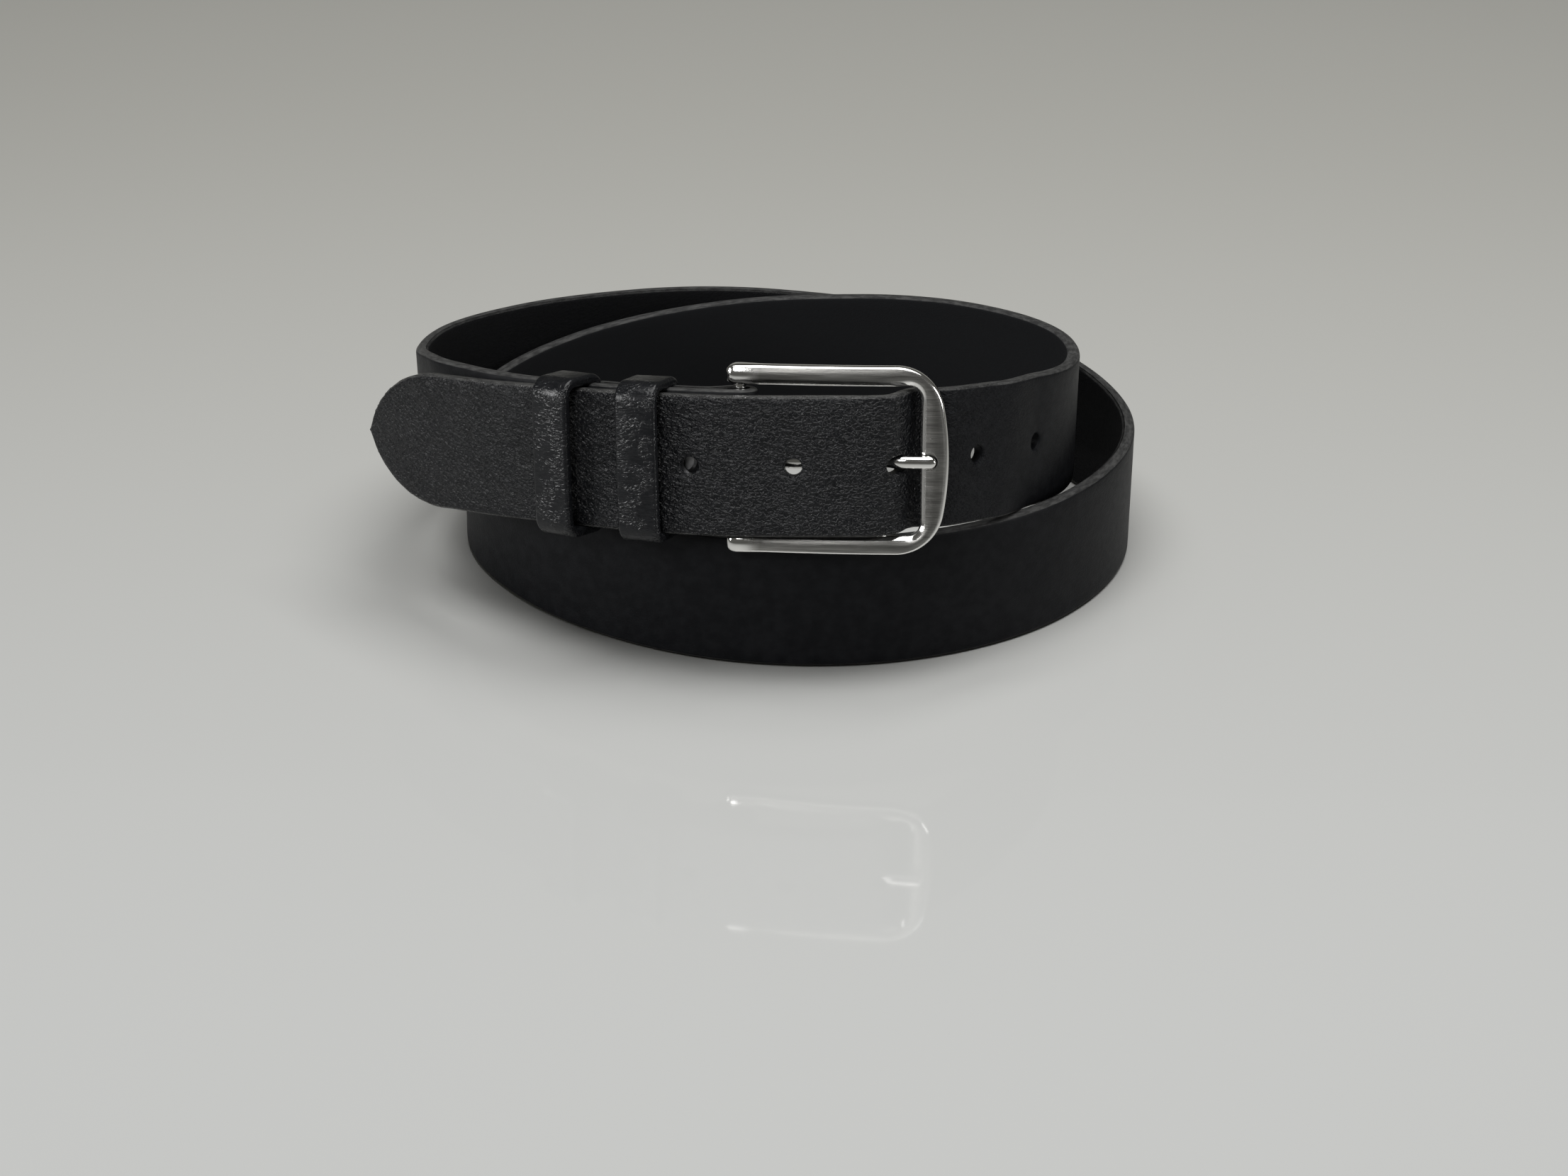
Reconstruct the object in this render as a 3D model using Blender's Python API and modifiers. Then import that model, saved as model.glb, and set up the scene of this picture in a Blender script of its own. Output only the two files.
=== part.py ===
# Leather dress belt, buckled on itself and stood on edge as a loose coil of two turns.
# Metres, +Z up, floor at z = 0, buckle at the front (-Y). Run with blender --background --python part.py
import math

import bmesh
import bpy
import numpy as np
from mathutils import Matrix, Vector

MM = 0.001
FIT = 0.4 * MM  # play between two pieces that touch

# Strap: one ply of leather, skived thin where it folds round the heel bar
STRAP_WIDTH = 35.0 * MM
STRAP_THICKNESS = 3.5 * MM
STRAP_EDGE = 0.5 * MM
FOLD_THICKNESS = 2.6 * MM
FLAP_LENGTH = 37.6 * MM
SKIVE_LENGTH = 14.0 * MM
FLAP_CLOSES_IN = 9.0 * MM
TIP_LENGTH = 27.0 * MM
TIP_NOSE = 3.0 * MM
TAIL_LENGTH = 114.0 * MM  # from the heel bar to the tip
ROW_STEP = 8.0 * MM

# Holes
HOLE_DIAMETER = 4.3 * MM
HOLE_PITCH = 25.4 * MM
HOLES_TO_TIP = 2
HOLES_TO_BODY = 2
WORN_HOLE = 1.6 * MM  # how far the hole in use is drawn out along the strap

# Coil: how the strap runs, round a middle line that stands upright
CROSSING_GAP = 6.0 * MM
COIL_RADIUS = 81.2 * MM  # of the outer face at the heel bar
HEEL_TURN = 7.0
STRAP_LEAD = 1.3  # degrees that the strap turns in from a circle at the heel bar

# Heel bar, prong and frame
HEEL_BAR_DIAMETER = 3.2 * MM
HEEL_BAR_DOME = 0.3 * MM
WINDOW_PLAY = 1.1 * MM  # each side of the strap
ARM_WIDTH = 4.9 * MM
FRAME_REACH = 51.6 * MM  # from the heel bar to the outer side of the front bar
FRAME_BAR = 7.0 * MM
FRAME_THICKNESS = 3.6 * MM
FRAME_EDGE = 0.8 * MM
FRAME_CORNER = 12.0 * MM
FRAME_SIDE_BOW = 2.3 * MM  # of the front bar, over the window's height
WINDOW_CORNER = 2.5 * MM
FRAME_ARCH = 1.6 * MM
FRAME_DROP = 0.3 * MM
FRAME_SWING = 1.3  # degrees that the frame stands out from the run of the strap
LUG_THICKNESS = 5.4 * MM
LUG_LENGTH = 7.0 * MM
LUG_END = 3.3 * MM  # how far the lugs run past the heel bar's axis
LUG_CORNER = 1.4 * MM
PRONG_WIDTH = 3.8 * MM
PRONG_TIP_WIDTH = 3.2 * MM
PRONG_THICKNESS = 2.4 * MM
PRONG_OVERHANG = 3.0 * MM
PRONG_DIP = 1.2 * MM
NOTCH_DEPTH = 0.8 * MM
SLOT_BACK = 5.0 * MM
SHANK_FROM = 4.0 * MM  # from the heel bar to where the prong leaves its eye
PRESS_LENGTH = 24.0 * MM  # how far back from its hole the prong presses the tail

# Keepers
KEEPER_LENGTH = 10.8 * MM
KEEPER_WALL = 2.1 * MM
KEEPER_CORNER = 0.9 * MM
KEEPER_EDGE = 0.4 * MM
KEEPER_TRAVEL = 3.0 * MM
FREE_KEEPER_GAP = 6.5 * MM  # from the flap's end to the keeper's middle

# Chicago screws that close the fold
FIRST_SCREW = 13.4 * MM  # from the heel bar
LAST_SCREW = 5.0 * MM  # from the flap's end
SCREW_HEAD = 7.2 * MM
SCREW_HEAD_THICKNESS = 0.9 * MM
HEAD_RECESS = 0.9 * MM
BARREL_DIAMETER = 4.8 * MM
SHANK_DIAMETER = 3.2 * MM
BARREL_FLOOR = 0.9 * MM
DRIVER_SLOT = 1.0 * MM

ROUND_SEGMENTS = 24
STACK_GAP = max(SCREW_HEAD_THICKNESS - HEAD_RECESS, 0.0) + 2 * FIT
RISE = STRAP_WIDTH + CROSSING_GAP
FRAME_WINDOW = STRAP_WIDTH + 2 * WINDOW_PLAY
FRAME_HEIGHT = FRAME_WINDOW + 2 * ARM_WIDTH
FOLD_RADIUS = HEEL_BAR_DIAMETER / 2 + FIT + FOLD_THICKNESS / 2
TAIL_OVER_HEEL = HEEL_TURN + 720.0


def bar_place():
    """The inner edge of the front bar in plan: its turn angle, and its distance from the coil's
    middle as a share of the coil's radius. The frame is straight, so the bar stands further out."""
    turned_in = math.radians(FRAME_SWING + STRAP_LEAD)
    reach = FRAME_REACH - FRAME_BAR
    out = COIL_RADIUS - FOLD_THICKNESS / 2 - FOLD_RADIUS - reach * math.sin(turned_in)
    aside = reach * math.cos(turned_in)
    return TAIL_OVER_HEEL - math.degrees(math.atan2(aside, out)), math.hypot(aside, out) / COIL_RADIUS


BAR_TURN, BAR_OUT = bar_place()
BAR_TO_HEEL = TAIL_OVER_HEEL - BAR_TURN
BULGE = BAR_OUT - 1.0271  # how far the tail stands out where it leaves the window
BUCKLE_FROM = 648.0  # from here to the heel bar the strap leans the way the buckle does

# Each station is (turn angle in degrees clockwise from the front, radius as a share of the coil's,
# rise of the lower edge as a share of one strap width and the crossing gap, inward lean of the top
# edge in degrees, seat). Seat -1 gives the radius of the outer face, 0 that of the middle, and 1
# that of what the inner face lies over.
COIL = (
    (-15, 0.9926, 0.992, 12.5, -1),
    (7, 1.0000, 0.985, 12.5, -1),
    (20, 1.0062, 0.958, 11.0, -1),
    (32, 1.0160, 0.910, 9.0, -1),
    (42, 1.0345, 0.862, 7.6, -1),
    (52, 1.0714, 0.810, 6.0, -1),
    (62, 1.1158, 0.755, 3.5, -1),
    (74, 1.1416, 0.668, 0.5, 0),
    (90, 1.1675, 0.510, -2.5, 0),
    (106, 1.1626, 0.405, -3.0, 0),
    (125, 1.1108, 0.320, -1.5, 0),
    (150, 1.0714, 0.232, 0.0, 0),
    (180, 1.0714, 0.146, 0.0, 0),
    (210, 1.1244, 0.073, 0.0, 0),
    (240, 1.1798, 0.018, 0.0, 0),
    (265, 1.1724, 0.000, 0.0, 0),
    (300, 1.0764, 0.000, 0.0, 0),
    (330, 0.9889, 0.000, 0.0, 0),
    (360, 0.9286, 0.000, 0.0, 0),
    (390, 0.9101, 0.000, 0.0, 0),
    (420, 0.9470, 0.000, 0.0, 0),
    (447, 1.0222, 0.000, 0.0, 0),
    (468, 1.0505, 0.006, 0.0, 0),
    (495, 0.9901, 0.085, 0.0, 0),
    (525, 0.8793, 0.210, 0.0, 0),
    (560, 0.8030, 0.350, 0.0, 0),
    (595, 0.8399, 0.485, 0.0, 0),
    (625, 0.9335, 0.615, 0.0, 0),
    (648, 0.9778, 0.735, 0.0, 0),
    (666, 0.9877, 0.855, 5.0, 0),
    (BAR_TURN - 17.2, 0.9852, 0.930, 9.5, 1),
    (BAR_TURN - 8.8, BAR_OUT - 0.0677, 0.960, 11.2, 1),
    (BAR_TURN - 5.3, BAR_OUT - 0.0579, 0.969, 11.8, 1),
    (BAR_TURN - 3.3, BAR_OUT - 0.0665, 0.972, 12.1, 1),
    (BAR_TURN - 1.3, BAR_OUT - 0.0788, 0.977, 12.3, 1),
    (BAR_TURN + 0.3, BAR_OUT - 0.0776, 0.981, 12.4, 1),
    (BAR_TURN + 2.3, BAR_OUT - 0.0616, 0.988, 12.5, 1),
    (BAR_TURN + 3.8, BAR_OUT - 0.0431, 0.993, 12.5, 1),
    (BAR_TURN + 5.1, BAR_OUT - 0.0320, 0.997, 12.5, 1),
    (BAR_TURN + 8.0, BAR_OUT - 0.0271, 1.005, 12.5, 1),
    (BAR_TURN + 0.403 * BAR_TO_HEEL, 1.0 + 0.69 * BULGE, 1.007, 12.5, 1),
    (BAR_TURN + 0.578 * BAR_TO_HEEL, 1.0 + 0.31 * BULGE, 1.003, 12.5, 1),
    (BAR_TURN + 0.773 * BAR_TO_HEEL, 1.0 + 0.06 * BULGE, 0.995, 12.5, 1),
    (727, 1.0000, 0.985, 12.5, 1),
    (740, 1.0062, 0.958, 11.0, 1),
    (752, 1.0172, 0.910, 9.0, 1),
    (762, 1.0456, 0.862, 7.6, 1),
    (772, 1.0961, 0.802, 6.6, 1),
    (782, 1.1687, 0.735, 6.0, 1),
    (795, 1.3116, 0.630, 5.5, 1),
    (802, 1.4039, 0.570, 5.0, 1),
)

for old in list(bpy.data.objects):
    bpy.data.objects.remove(old, do_unlink=True)
parts = bpy.data.collections.new("leather_belt")
cutters = bpy.data.collections.new("cutters")
for group in (parts, cutters):
    bpy.context.scene.collection.children.link(group)


def finish(name, colour, roughness, metallic):
    """A plain Principled material in the colour that the real surface has."""
    material = bpy.data.materials.new(name)
    material.use_nodes = True
    shader = material.node_tree.nodes["Principled BSDF"]
    shader.inputs["Base Color"].default_value = (*colour, 1.0)
    shader.inputs["Roughness"].default_value = roughness
    shader.inputs["Metallic"].default_value = metallic
    return material


STRAP_LEATHER = finish("black_strap_leather", (0.018, 0.019, 0.022), 0.52, 0.0)
KEEPER_LEATHER = finish("black_keeper_leather", (0.02, 0.021, 0.024), 0.38, 0.0)
SATIN_NICKEL = finish("satin_nickel", (0.62, 0.61, 0.59), 0.32, 1.0)
POLISHED_NICKEL = finish("polished_nickel", (0.74, 0.73, 0.71), 0.12, 1.0)
DARK_STEEL = finish("dark_steel", (0.3, 0.3, 0.31), 0.35, 1.0)


def curve_through(column):
    """A smooth function of the turn angle through one column of the coil's stations."""
    turns = np.array([station[0] for station in COIL], float)
    values = np.array([station[column] for station in COIL], float)
    steps = np.diff(values) / np.diff(turns)
    slopes = np.concatenate(([steps[0]], (steps[:-1] + steps[1:]) / 2, [steps[-1]]))
    level = np.concatenate(([False], steps[:-1] * steps[1:] <= 0, [False]))
    slopes[level] = 0.0

    def value(turn):
        i = int(np.clip(np.searchsorted(turns, turn) - 1, 0, len(turns) - 2))
        span = turns[i + 1] - turns[i]
        t = (turn - turns[i]) / span
        rise = values[i + 1] - values[i]
        left = slopes[i] * span
        right = slopes[i + 1] * span
        return values[i] + t * (left + t * ((3 * rise - 2 * left - right) + t * (left + right - 2 * rise)))

    return value


radius_at = curve_through(1)
rise_at = curve_through(2)
lean_at = curve_through(3)
seat_at = curve_through(4)


def ease(value):
    value = min(max(value, 0.0), 1.0)
    return value * value * (3.0 - 2.0 * value)


def leather_at(turn):
    """The strap's thickness: thin from the heel bar to the end of the flap, then full."""
    degrees = math.degrees(1.0 / (radius_at(HEEL_TURN) * COIL_RADIUS))
    past_flap = (turn - HEEL_TURN) / degrees - FLAP_LENGTH
    return FOLD_THICKNESS + (STRAP_THICKNESS - FOLD_THICKNESS) * ease(past_flap / SKIVE_LENGTH)


def plan_point(turn):
    """The foot of the strap's middle line: x, y, and the height of the lower edge."""
    seat = seat_at(turn)
    radius = radius_at(turn) * COIL_RADIUS + seat * leather_at(turn) / 2 + max(seat, 0.0) * STACK_GAP
    angle = math.radians(turn)
    return Vector((-radius * math.sin(angle), -radius * math.cos(angle), rise_at(turn) * RISE))


def strap_axes(turn):
    """Middle point of the strap, its running direction, its outward normal and its upward width."""
    half_step = 0.2
    foot = plan_point(turn)
    along = (plan_point(turn + half_step) - plan_point(turn - half_step)).normalized()
    over_buckle = BUCKLE_FROM < turn < TAIL_OVER_HEEL
    inward = math.radians(HEEL_TURN if over_buckle else turn)
    lean = math.radians(lean_at(turn))
    across = Vector((math.sin(inward) * math.sin(lean), math.cos(inward) * math.sin(lean), math.cos(lean)))
    across = (across - along * across.dot(along)).normalized()
    normal = across.cross(along)
    return foot + Vector((0, 0, across.z * STRAP_WIDTH / 2)), along, normal, across


def measured_turns(first, last, step=0.25):
    """Turn angles from first to last, and the length of strap up to each."""
    turns = np.arange(first, last + step, step)
    points = np.array([strap_axes(turn)[0] for turn in turns])
    lengths = np.concatenate(([0.0], np.cumsum(np.linalg.norm(np.diff(points, axis=0), axis=1))))
    return turns, lengths


TURNS, LENGTHS = measured_turns(HEEL_TURN, COIL[-1][0] - 0.5)


def length_at(turn):
    return float(np.interp(turn, TURNS, LENGTHS))


def turn_at(length):
    return float(np.interp(length, LENGTHS, TURNS))


STRAP_LENGTH = length_at(TAIL_OVER_HEEL) + TAIL_LENGTH
SCREW_PLACES = (FIRST_SCREW, FLAP_LENGTH - LAST_SCREW)
SCREW_TURNS = [turn_at(place) for place in SCREW_PLACES]
FIXED_KEEPER_TURN = turn_at(sum(SCREW_PLACES) / 2)
FREE_KEEPER_TURN = turn_at(FLAP_LENGTH + FREE_KEEPER_GAP)

# The buckle's own axes: origin on the heel bar, u to the front bar, w up the strap, n outward
ply_point, ply_along, FOLD_N, BUCKLE_W = strap_axes(HEEL_TURN)
FOLD_U = -ply_along
HEEL = ply_point - FOLD_N * FOLD_RADIUS
SWING = Matrix.Rotation(math.radians(FRAME_SWING), 3, BUCKLE_W)
BUCKLE_U = SWING @ FOLD_U
BUCKLE_N = SWING @ FOLD_N


TURN_UP = Matrix.Rotation(-math.pi / 2, 4, "X")  # a round piece's own Z to the local Y
TURN_OUT = Matrix.Rotation(math.pi / 2, 4, "X")  # the same the other way round


def buckle_matrix(u=0.0, n=0.0):
    """Local X along u, Y along w, Z along n."""
    turn = Matrix((BUCKLE_U, BUCKLE_W, BUCKLE_N)).transposed().to_4x4()
    return Matrix.Translation(HEEL + BUCKLE_U * u + BUCKLE_N * n) @ turn


def strap_matrix(turn, shift=0.0):
    """Local X along the strap, Y outward, Z up its width; shift moves it outward."""
    middle, along, normal, across = strap_axes(turn)
    axes = Matrix((along, normal, across)).transposed().to_4x4()
    return Matrix.Translation(middle + normal * shift) @ axes


def new_object(name, mesh, material=None, matrix=None, group=parts):
    item = bpy.data.objects.new(name, mesh)
    group.objects.link(item)
    if material:
        mesh.materials.append(material)
    if matrix:
        item.matrix_world = matrix
    return item


def cutter(item):
    item.hide_render = True
    item.display_type = "WIRE"
    return item


def cut(item, tool, operation="DIFFERENCE"):
    change = item.modifiers.new(tool.name, "BOOLEAN")
    change.operation = operation
    change.object = tool
    change.solver = "EXACT"


def rounded(item, width, segments=1, angle=40.0):
    bevel = item.modifiers.new("rounded_edges", "BEVEL")
    bevel.width = width
    bevel.segments = segments
    bevel.limit_method = "ANGLE"
    bevel.angle_limit = math.radians(angle)
    weld = item.modifiers.new("weld", "WELD")
    weld.merge_threshold = 0.00002


def smooth(item, angle=35.0):
    item.data.shade_smooth()
    item.data.set_sharp_from_angle(angle=math.radians(angle))


def ribbon(name, rows, thickness, material, cells, group=parts, matrix=None):
    """A flat bar: each row gives both edge points and the thickness there; a grid gets a wall."""
    mesh = bpy.data.meshes.new(name)
    work = bmesh.new()
    bmesh.ops.create_grid(work, x_segments=len(rows) - 1, y_segments=cells, size=1.0)
    weights = {}
    for vert in work.verts:
        i = round((vert.co.x + 1) / 2 * (len(rows) - 1))
        share = (vert.co.y + 1) / 2
        low, high, wall = rows[i]
        vert.co = low.lerp(high, share)
        weights[vert.index] = wall / thickness
    work.verts.index_update()
    work.to_mesh(mesh)
    work.free()
    item = new_object(name, mesh, material, matrix, group)
    walls = item.vertex_groups.new(name="wall")
    for index, weight in weights.items():
        walls.add([index], weight, "REPLACE")
    solid = item.modifiers.new("wall", "SOLIDIFY")
    solid.thickness = thickness
    solid.offset = 0.0
    solid.vertex_group = walls.name
    return item


def bar_cutter(name, diameter, length, matrix, segments=ROUND_SEGMENTS):
    """A round cutter whose axis is its local Z."""
    mesh = bpy.data.meshes.new(name)
    work = bmesh.new()
    bmesh.ops.create_cone(work, cap_ends=True, segments=segments, radius1=diameter / 2,
                          radius2=diameter / 2, depth=length)
    work.to_mesh(mesh)
    work.free()
    return cutter(new_object(name, mesh, None, matrix, cutters))


def box_cutter(name, size, matrix):
    mesh = bpy.data.meshes.new(name)
    work = bmesh.new()
    bmesh.ops.create_cube(work, size=1.0)
    bmesh.ops.scale(work, vec=size, verts=work.verts)
    work.to_mesh(mesh)
    work.free()
    return cutter(new_object(name, mesh, None, matrix, cutters))


def slot_cutter(name, width, length, depth, matrix):
    """A slot with two round ends along the local X, cut along the local Z. A hole has no length."""
    mesh = bpy.data.meshes.new(name)
    work = bmesh.new()
    steps = ROUND_SEGMENTS // 2
    outline = []
    for end in (1, -1):
        for i in range(steps + 1 if length else steps):
            angle = math.pi * (i / steps - 0.5) + (0.0 if end > 0 else math.pi)
            outline.append((end * length / 2 + width / 2 * math.cos(angle), width / 2 * math.sin(angle)))
    face = work.faces.new([work.verts.new((x, y, -depth / 2)) for x, y in outline])
    top = bmesh.ops.extrude_face_region(work, geom=[face])
    lifted = [item for item in top["geom"] if isinstance(item, bmesh.types.BMVert)]
    bmesh.ops.translate(work, vec=(0, 0, depth), verts=lifted)
    bmesh.ops.recalc_face_normals(work, faces=work.faces)
    work.to_mesh(mesh)
    work.free()
    return cutter(new_object(name, mesh, None, matrix, cutters))


def punch(name, turn, diameter, drawn_out=0.0):
    """A punch through the strap at a turn angle, square to the leather."""
    return slot_cutter(name, diameter, drawn_out, 4 * STRAP_THICKNESS, strap_matrix(turn) @ TURN_OUT)


def tip_half_width(distance):
    """Half of the strap's width at a distance from the tip: two arcs that meet in a small nose."""
    half = STRAP_WIDTH / 2
    if distance >= TIP_LENGTH:
        return half
    arc = (TIP_LENGTH ** 2 + half ** 2) / (2 * half)
    side = half - arc + math.sqrt(arc ** 2 - (TIP_LENGTH - distance) ** 2)
    nose = math.sqrt(max(1 - (1 - min(distance / TIP_NOSE, 1)) ** 2, 0.03))
    return max(side, 0.35 * TIP_NOSE) * nose


def strap_rows():
    """Rows of the strap from the flap's end, round the heel bar, and along the coil to the tip."""
    rows = []
    half = STRAP_WIDTH / 2
    flap_steps = 12
    closed = FOLD_THICKNESS + FIT
    clears_bar = HEEL_BAR_DIAMETER / 2
    for i in range(flap_steps):
        distance = FLAP_LENGTH * (1 - i / flap_steps) ** 1.3
        middle, along, normal, across = strap_axes(turn_at(distance))
        closing = ease((distance - clears_bar) / (FLAP_CLOSES_IN - clears_bar))
        apart = closed + (2 * FOLD_RADIUS - closed) * (1 - closing)
        point = middle - normal * apart
        rows.append((point - across * half, point + across * half, FOLD_THICKNESS))
    fold_steps = 10
    for i in range(fold_steps + 1):
        angle = math.pi * i / fold_steps
        point = HEEL + FOLD_RADIUS * (FOLD_U * math.sin(angle) - FOLD_N * math.cos(angle))
        rows.append((point - BUCKLE_W * half, point + BUCKLE_W * half, FOLD_THICKNESS))
    kink = (length_at(BAR_TURN - 6), length_at(BAR_TURN + 10))
    length = ROW_STEP / 2
    while length < STRAP_LENGTH:
        turn = turn_at(length)
        middle, along, normal, across = strap_axes(turn)
        reach = tip_half_width(STRAP_LENGTH - length)
        rows.append((middle - across * reach, middle + across * reach, leather_at(turn)))
        near_tip = STRAP_LENGTH - length < TIP_LENGTH + ROW_STEP
        if near_tip:
            length += max(0.13 * (STRAP_LENGTH - length), 0.5 * MM)
        elif kink[0] < length < kink[1] or length < FLAP_CLOSES_IN:
            length += ROW_STEP / 4
        else:
            length += ROW_STEP
    middle, along, normal, across = strap_axes(turn_at(STRAP_LENGTH))
    reach = tip_half_width(0)
    rows.append((middle - across * reach, middle + across * reach, STRAP_THICKNESS))
    return rows


def least_gap():
    """Least clear distance between the strap and itself, over a third of a turn apart."""
    samples = []
    for length in np.arange(FLAP_LENGTH, STRAP_LENGTH, 2 * MM):
        turn = turn_at(length)
        middle, along, normal, across = strap_axes(turn)
        for share in np.linspace(-0.5, 0.5, 8):
            for side in (-0.5, 0.5):
                point = middle + across * STRAP_WIDTH * share + normal * leather_at(turn) * side
                samples.append((turn, *point))
    samples = np.array(samples)
    least = 1.0
    for turn, x, y, z in samples[::5]:
        far = samples[np.abs(samples[:, 0] - turn) > 120]
        if len(far):
            least = min(least, np.sqrt(((far[:, 1:] - (x, y, z)) ** 2).sum(axis=1).min()))
    return least


def tail_in_buckle():
    """The strap's middle line over the buckle, as u and n on the buckle's own axes."""
    turns = np.arange(BAR_TURN - 11, TAIL_OVER_HEEL + 4, 0.25)
    line = [(strap_axes(turn)[0] - HEEL) for turn in turns]
    return turns, np.array([(step.dot(BUCKLE_U), step.dot(BUCKLE_N)) for step in line])


TAIL_TURNS, TAIL_LINE = tail_in_buckle()


def tail_n(u):
    """How far outward of the heel bar the tail's middle line lies at u."""
    order = np.argsort(TAIL_LINE[:, 0])
    return float(np.interp(u, TAIL_LINE[order, 0], TAIL_LINE[order, 1]))


def frame_n(u):
    """The frame's gentle arch: outward offset of its middle at u."""
    share = u / FRAME_REACH
    return FRAME_ARCH * 4 * share * (1 - share) - FRAME_DROP * share


BAR_MIDDLE = FRAME_REACH - FRAME_BAR / 2
HOLE_U = BAR_MIDDLE - FRAME_BAR / 2 - HOLE_DIAMETER - 0.6 * MM


def prong_n(u):
    """The prong runs under the tail, comes out through the hole and lies in the notch."""
    leaves_eye = HEEL_BAR_DIAMETER / 2 + FIT + PRONG_THICKNESS / 2
    under = tail_n(u) - STRAP_THICKNESS / 2 - 2 * FIT - PRONG_THICKNESS / 2
    over = frame_n(BAR_MIDDLE) + FRAME_THICKNESS / 2 - NOTCH_DEPTH + FIT + PRONG_THICKNESS / 2
    under = min(max(under, over - PRONG_DIP), leaves_eye)
    passing = ease((u - HOLE_U + 1.2 * HOLE_DIAMETER / 2) / (1.3 * HOLE_DIAMETER))
    return under + (over - under) * passing


def hole_turn():
    """Turn angle at which the prong crosses the strap."""
    above = [prong_n(u) - n for u, n in TAIL_LINE]
    for i in range(1, len(above)):
        if above[i - 1] > 0 >= above[i] and TAIL_LINE[i, 0] > HOLE_U - HOLE_DIAMETER:
            return float(TAIL_TURNS[i])
    return float(TAIL_TURNS[len(above) // 2])


def make_strap():
    strap = ribbon("strap", strap_rows(), STRAP_THICKNESS, STRAP_LEATHER, 2)
    rounded(strap, STRAP_EDGE)
    in_use = hole_turn()
    for number in range(-HOLES_TO_BODY, HOLES_TO_TIP + 1):
        turn = turn_at(length_at(in_use) + number * HOLE_PITCH)
        drawn_out = WORN_HOLE if number == 0 else 0.0
        cut(strap, punch(f"hole_punch_{number + HOLES_TO_BODY + 1}", turn, HOLE_DIAMETER, drawn_out))
    cut(strap, prong_way())
    for number, turn in enumerate(SCREW_TURNS, 1):
        middle = FOLD_THICKNESS / 2 + FIT / 2
        depth = 2 * FOLD_THICKNESS + 4 * FIT
        place = strap_matrix(turn, -middle) @ TURN_OUT
        cut(strap, bar_cutter(f"post_punch_{number}", BARREL_DIAMETER + 2 * FIT, depth, place))
        seat = strap_matrix(turn, FOLD_THICKNESS / 2) @ TURN_OUT
        cut(strap, bar_cutter(f"head_seat_{number}", SCREW_HEAD + 2 * FIT, 2 * HEAD_RECESS, seat))
    slot_width = PRONG_WIDTH + 4 * FIT
    reach = FOLD_RADIUS + FOLD_THICKNESS + slot_width
    depth = 2 * FOLD_RADIUS + FOLD_THICKNESS + 2 * FIT
    slot_middle = buckle_matrix((reach - SLOT_BACK) / 2)
    cut(strap, slot_cutter("prong_slot", slot_width, SLOT_BACK + reach, depth, slot_middle))
    smooth(strap)
    return strap


def frame_rows():
    """Inner and outer edge of the U from the lower lug round the front bar to the upper lug."""
    window = FRAME_WINDOW / 2
    outer = FRAME_HEIGHT / 2
    bar_inner = FRAME_REACH - FRAME_BAR
    pairs = []
    for i in range(4):
        angle = math.pi / 2 * i / 3
        spread = LUG_CORNER * (1 - math.sin(angle))
        u = LUG_CORNER * (1 - math.cos(angle)) - LUG_END
        pairs.append(((u, window + spread), (u, outer - spread)))
    # the bar's outer side is one long arc, and the corner's arc runs from it into the arm
    bow = (window ** 2 + FRAME_SIDE_BOW ** 2) / (2 * FRAME_SIDE_BOW)
    edge_w = outer - FRAME_CORNER
    arm_ends = FRAME_REACH - bow + math.sqrt((bow - FRAME_CORNER) ** 2 - edge_w ** 2)
    turned = math.atan2(edge_w, arm_ends - FRAME_REACH + bow)
    straight = bar_inner - WINDOW_CORNER
    for share in (0.0, 0.1, 0.2, 0.4, 0.6, 0.8, 1.0):
        pairs.append(((straight * share, window), (arm_ends * share, outer)))
    corner_steps = 7
    for i in range(1, corner_steps + 1):
        angle = math.pi / 2 * i / corner_steps
        inner = (straight + WINDOW_CORNER * math.sin(angle), window - WINDOW_CORNER * (1 - math.cos(angle)))
        angle = math.pi / 2 - (math.pi / 2 - turned) * i / corner_steps
        edge = (arm_ends + FRAME_CORNER * math.cos(angle), edge_w + FRAME_CORNER * math.sin(angle))
        pairs.append((inner, edge))
    inner_w = window - WINDOW_CORNER
    for share in (0.66, 0.33):
        side = FRAME_REACH - bow + bow * math.cos(turned * share)
        pairs.append(((bar_inner, inner_w * share), (side, bow * math.sin(turned * share))))
    lower = [((a[0], -a[1]), (b[0], -b[1])) for a, b in pairs]
    middle = [((bar_inner, 0.0), (FRAME_REACH, 0.0))]
    return lower + middle + pairs[::-1]


def make_frame():
    rows = []
    for inner, edge in frame_rows():
        lug = 1 - ease(inner[0] / LUG_LENGTH)
        wall = FRAME_THICKNESS + (LUG_THICKNESS - FRAME_THICKNESS) * lug
        ends = [Vector((u, w, frame_n(max(u, 0.0)))) for u, w in (inner, edge)]
        rows.append((*ends, wall))
    frame = ribbon("buckle_frame", rows, LUG_THICKNESS, SATIN_NICKEL, 2, matrix=buckle_matrix())
    rounded(frame, FRAME_EDGE, 2)
    bore = bar_cutter("heel_bar_bore", HEEL_BAR_DIAMETER + 2 * FIT, FRAME_HEIGHT * 1.2,
                      buckle_matrix() @ TURN_UP)
    cut(frame, bore)
    notch_floor = frame_n(BAR_MIDDLE) + FRAME_THICKNESS / 2 - NOTCH_DEPTH
    notch = buckle_matrix(BAR_MIDDLE, notch_floor + 2 * NOTCH_DEPTH)
    size = (1.6 * FRAME_BAR, PRONG_TIP_WIDTH + 3 * FIT, 4 * NOTCH_DEPTH)
    cut(frame, box_cutter("prong_notch", size, notch))
    smooth(frame)
    return frame


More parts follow.
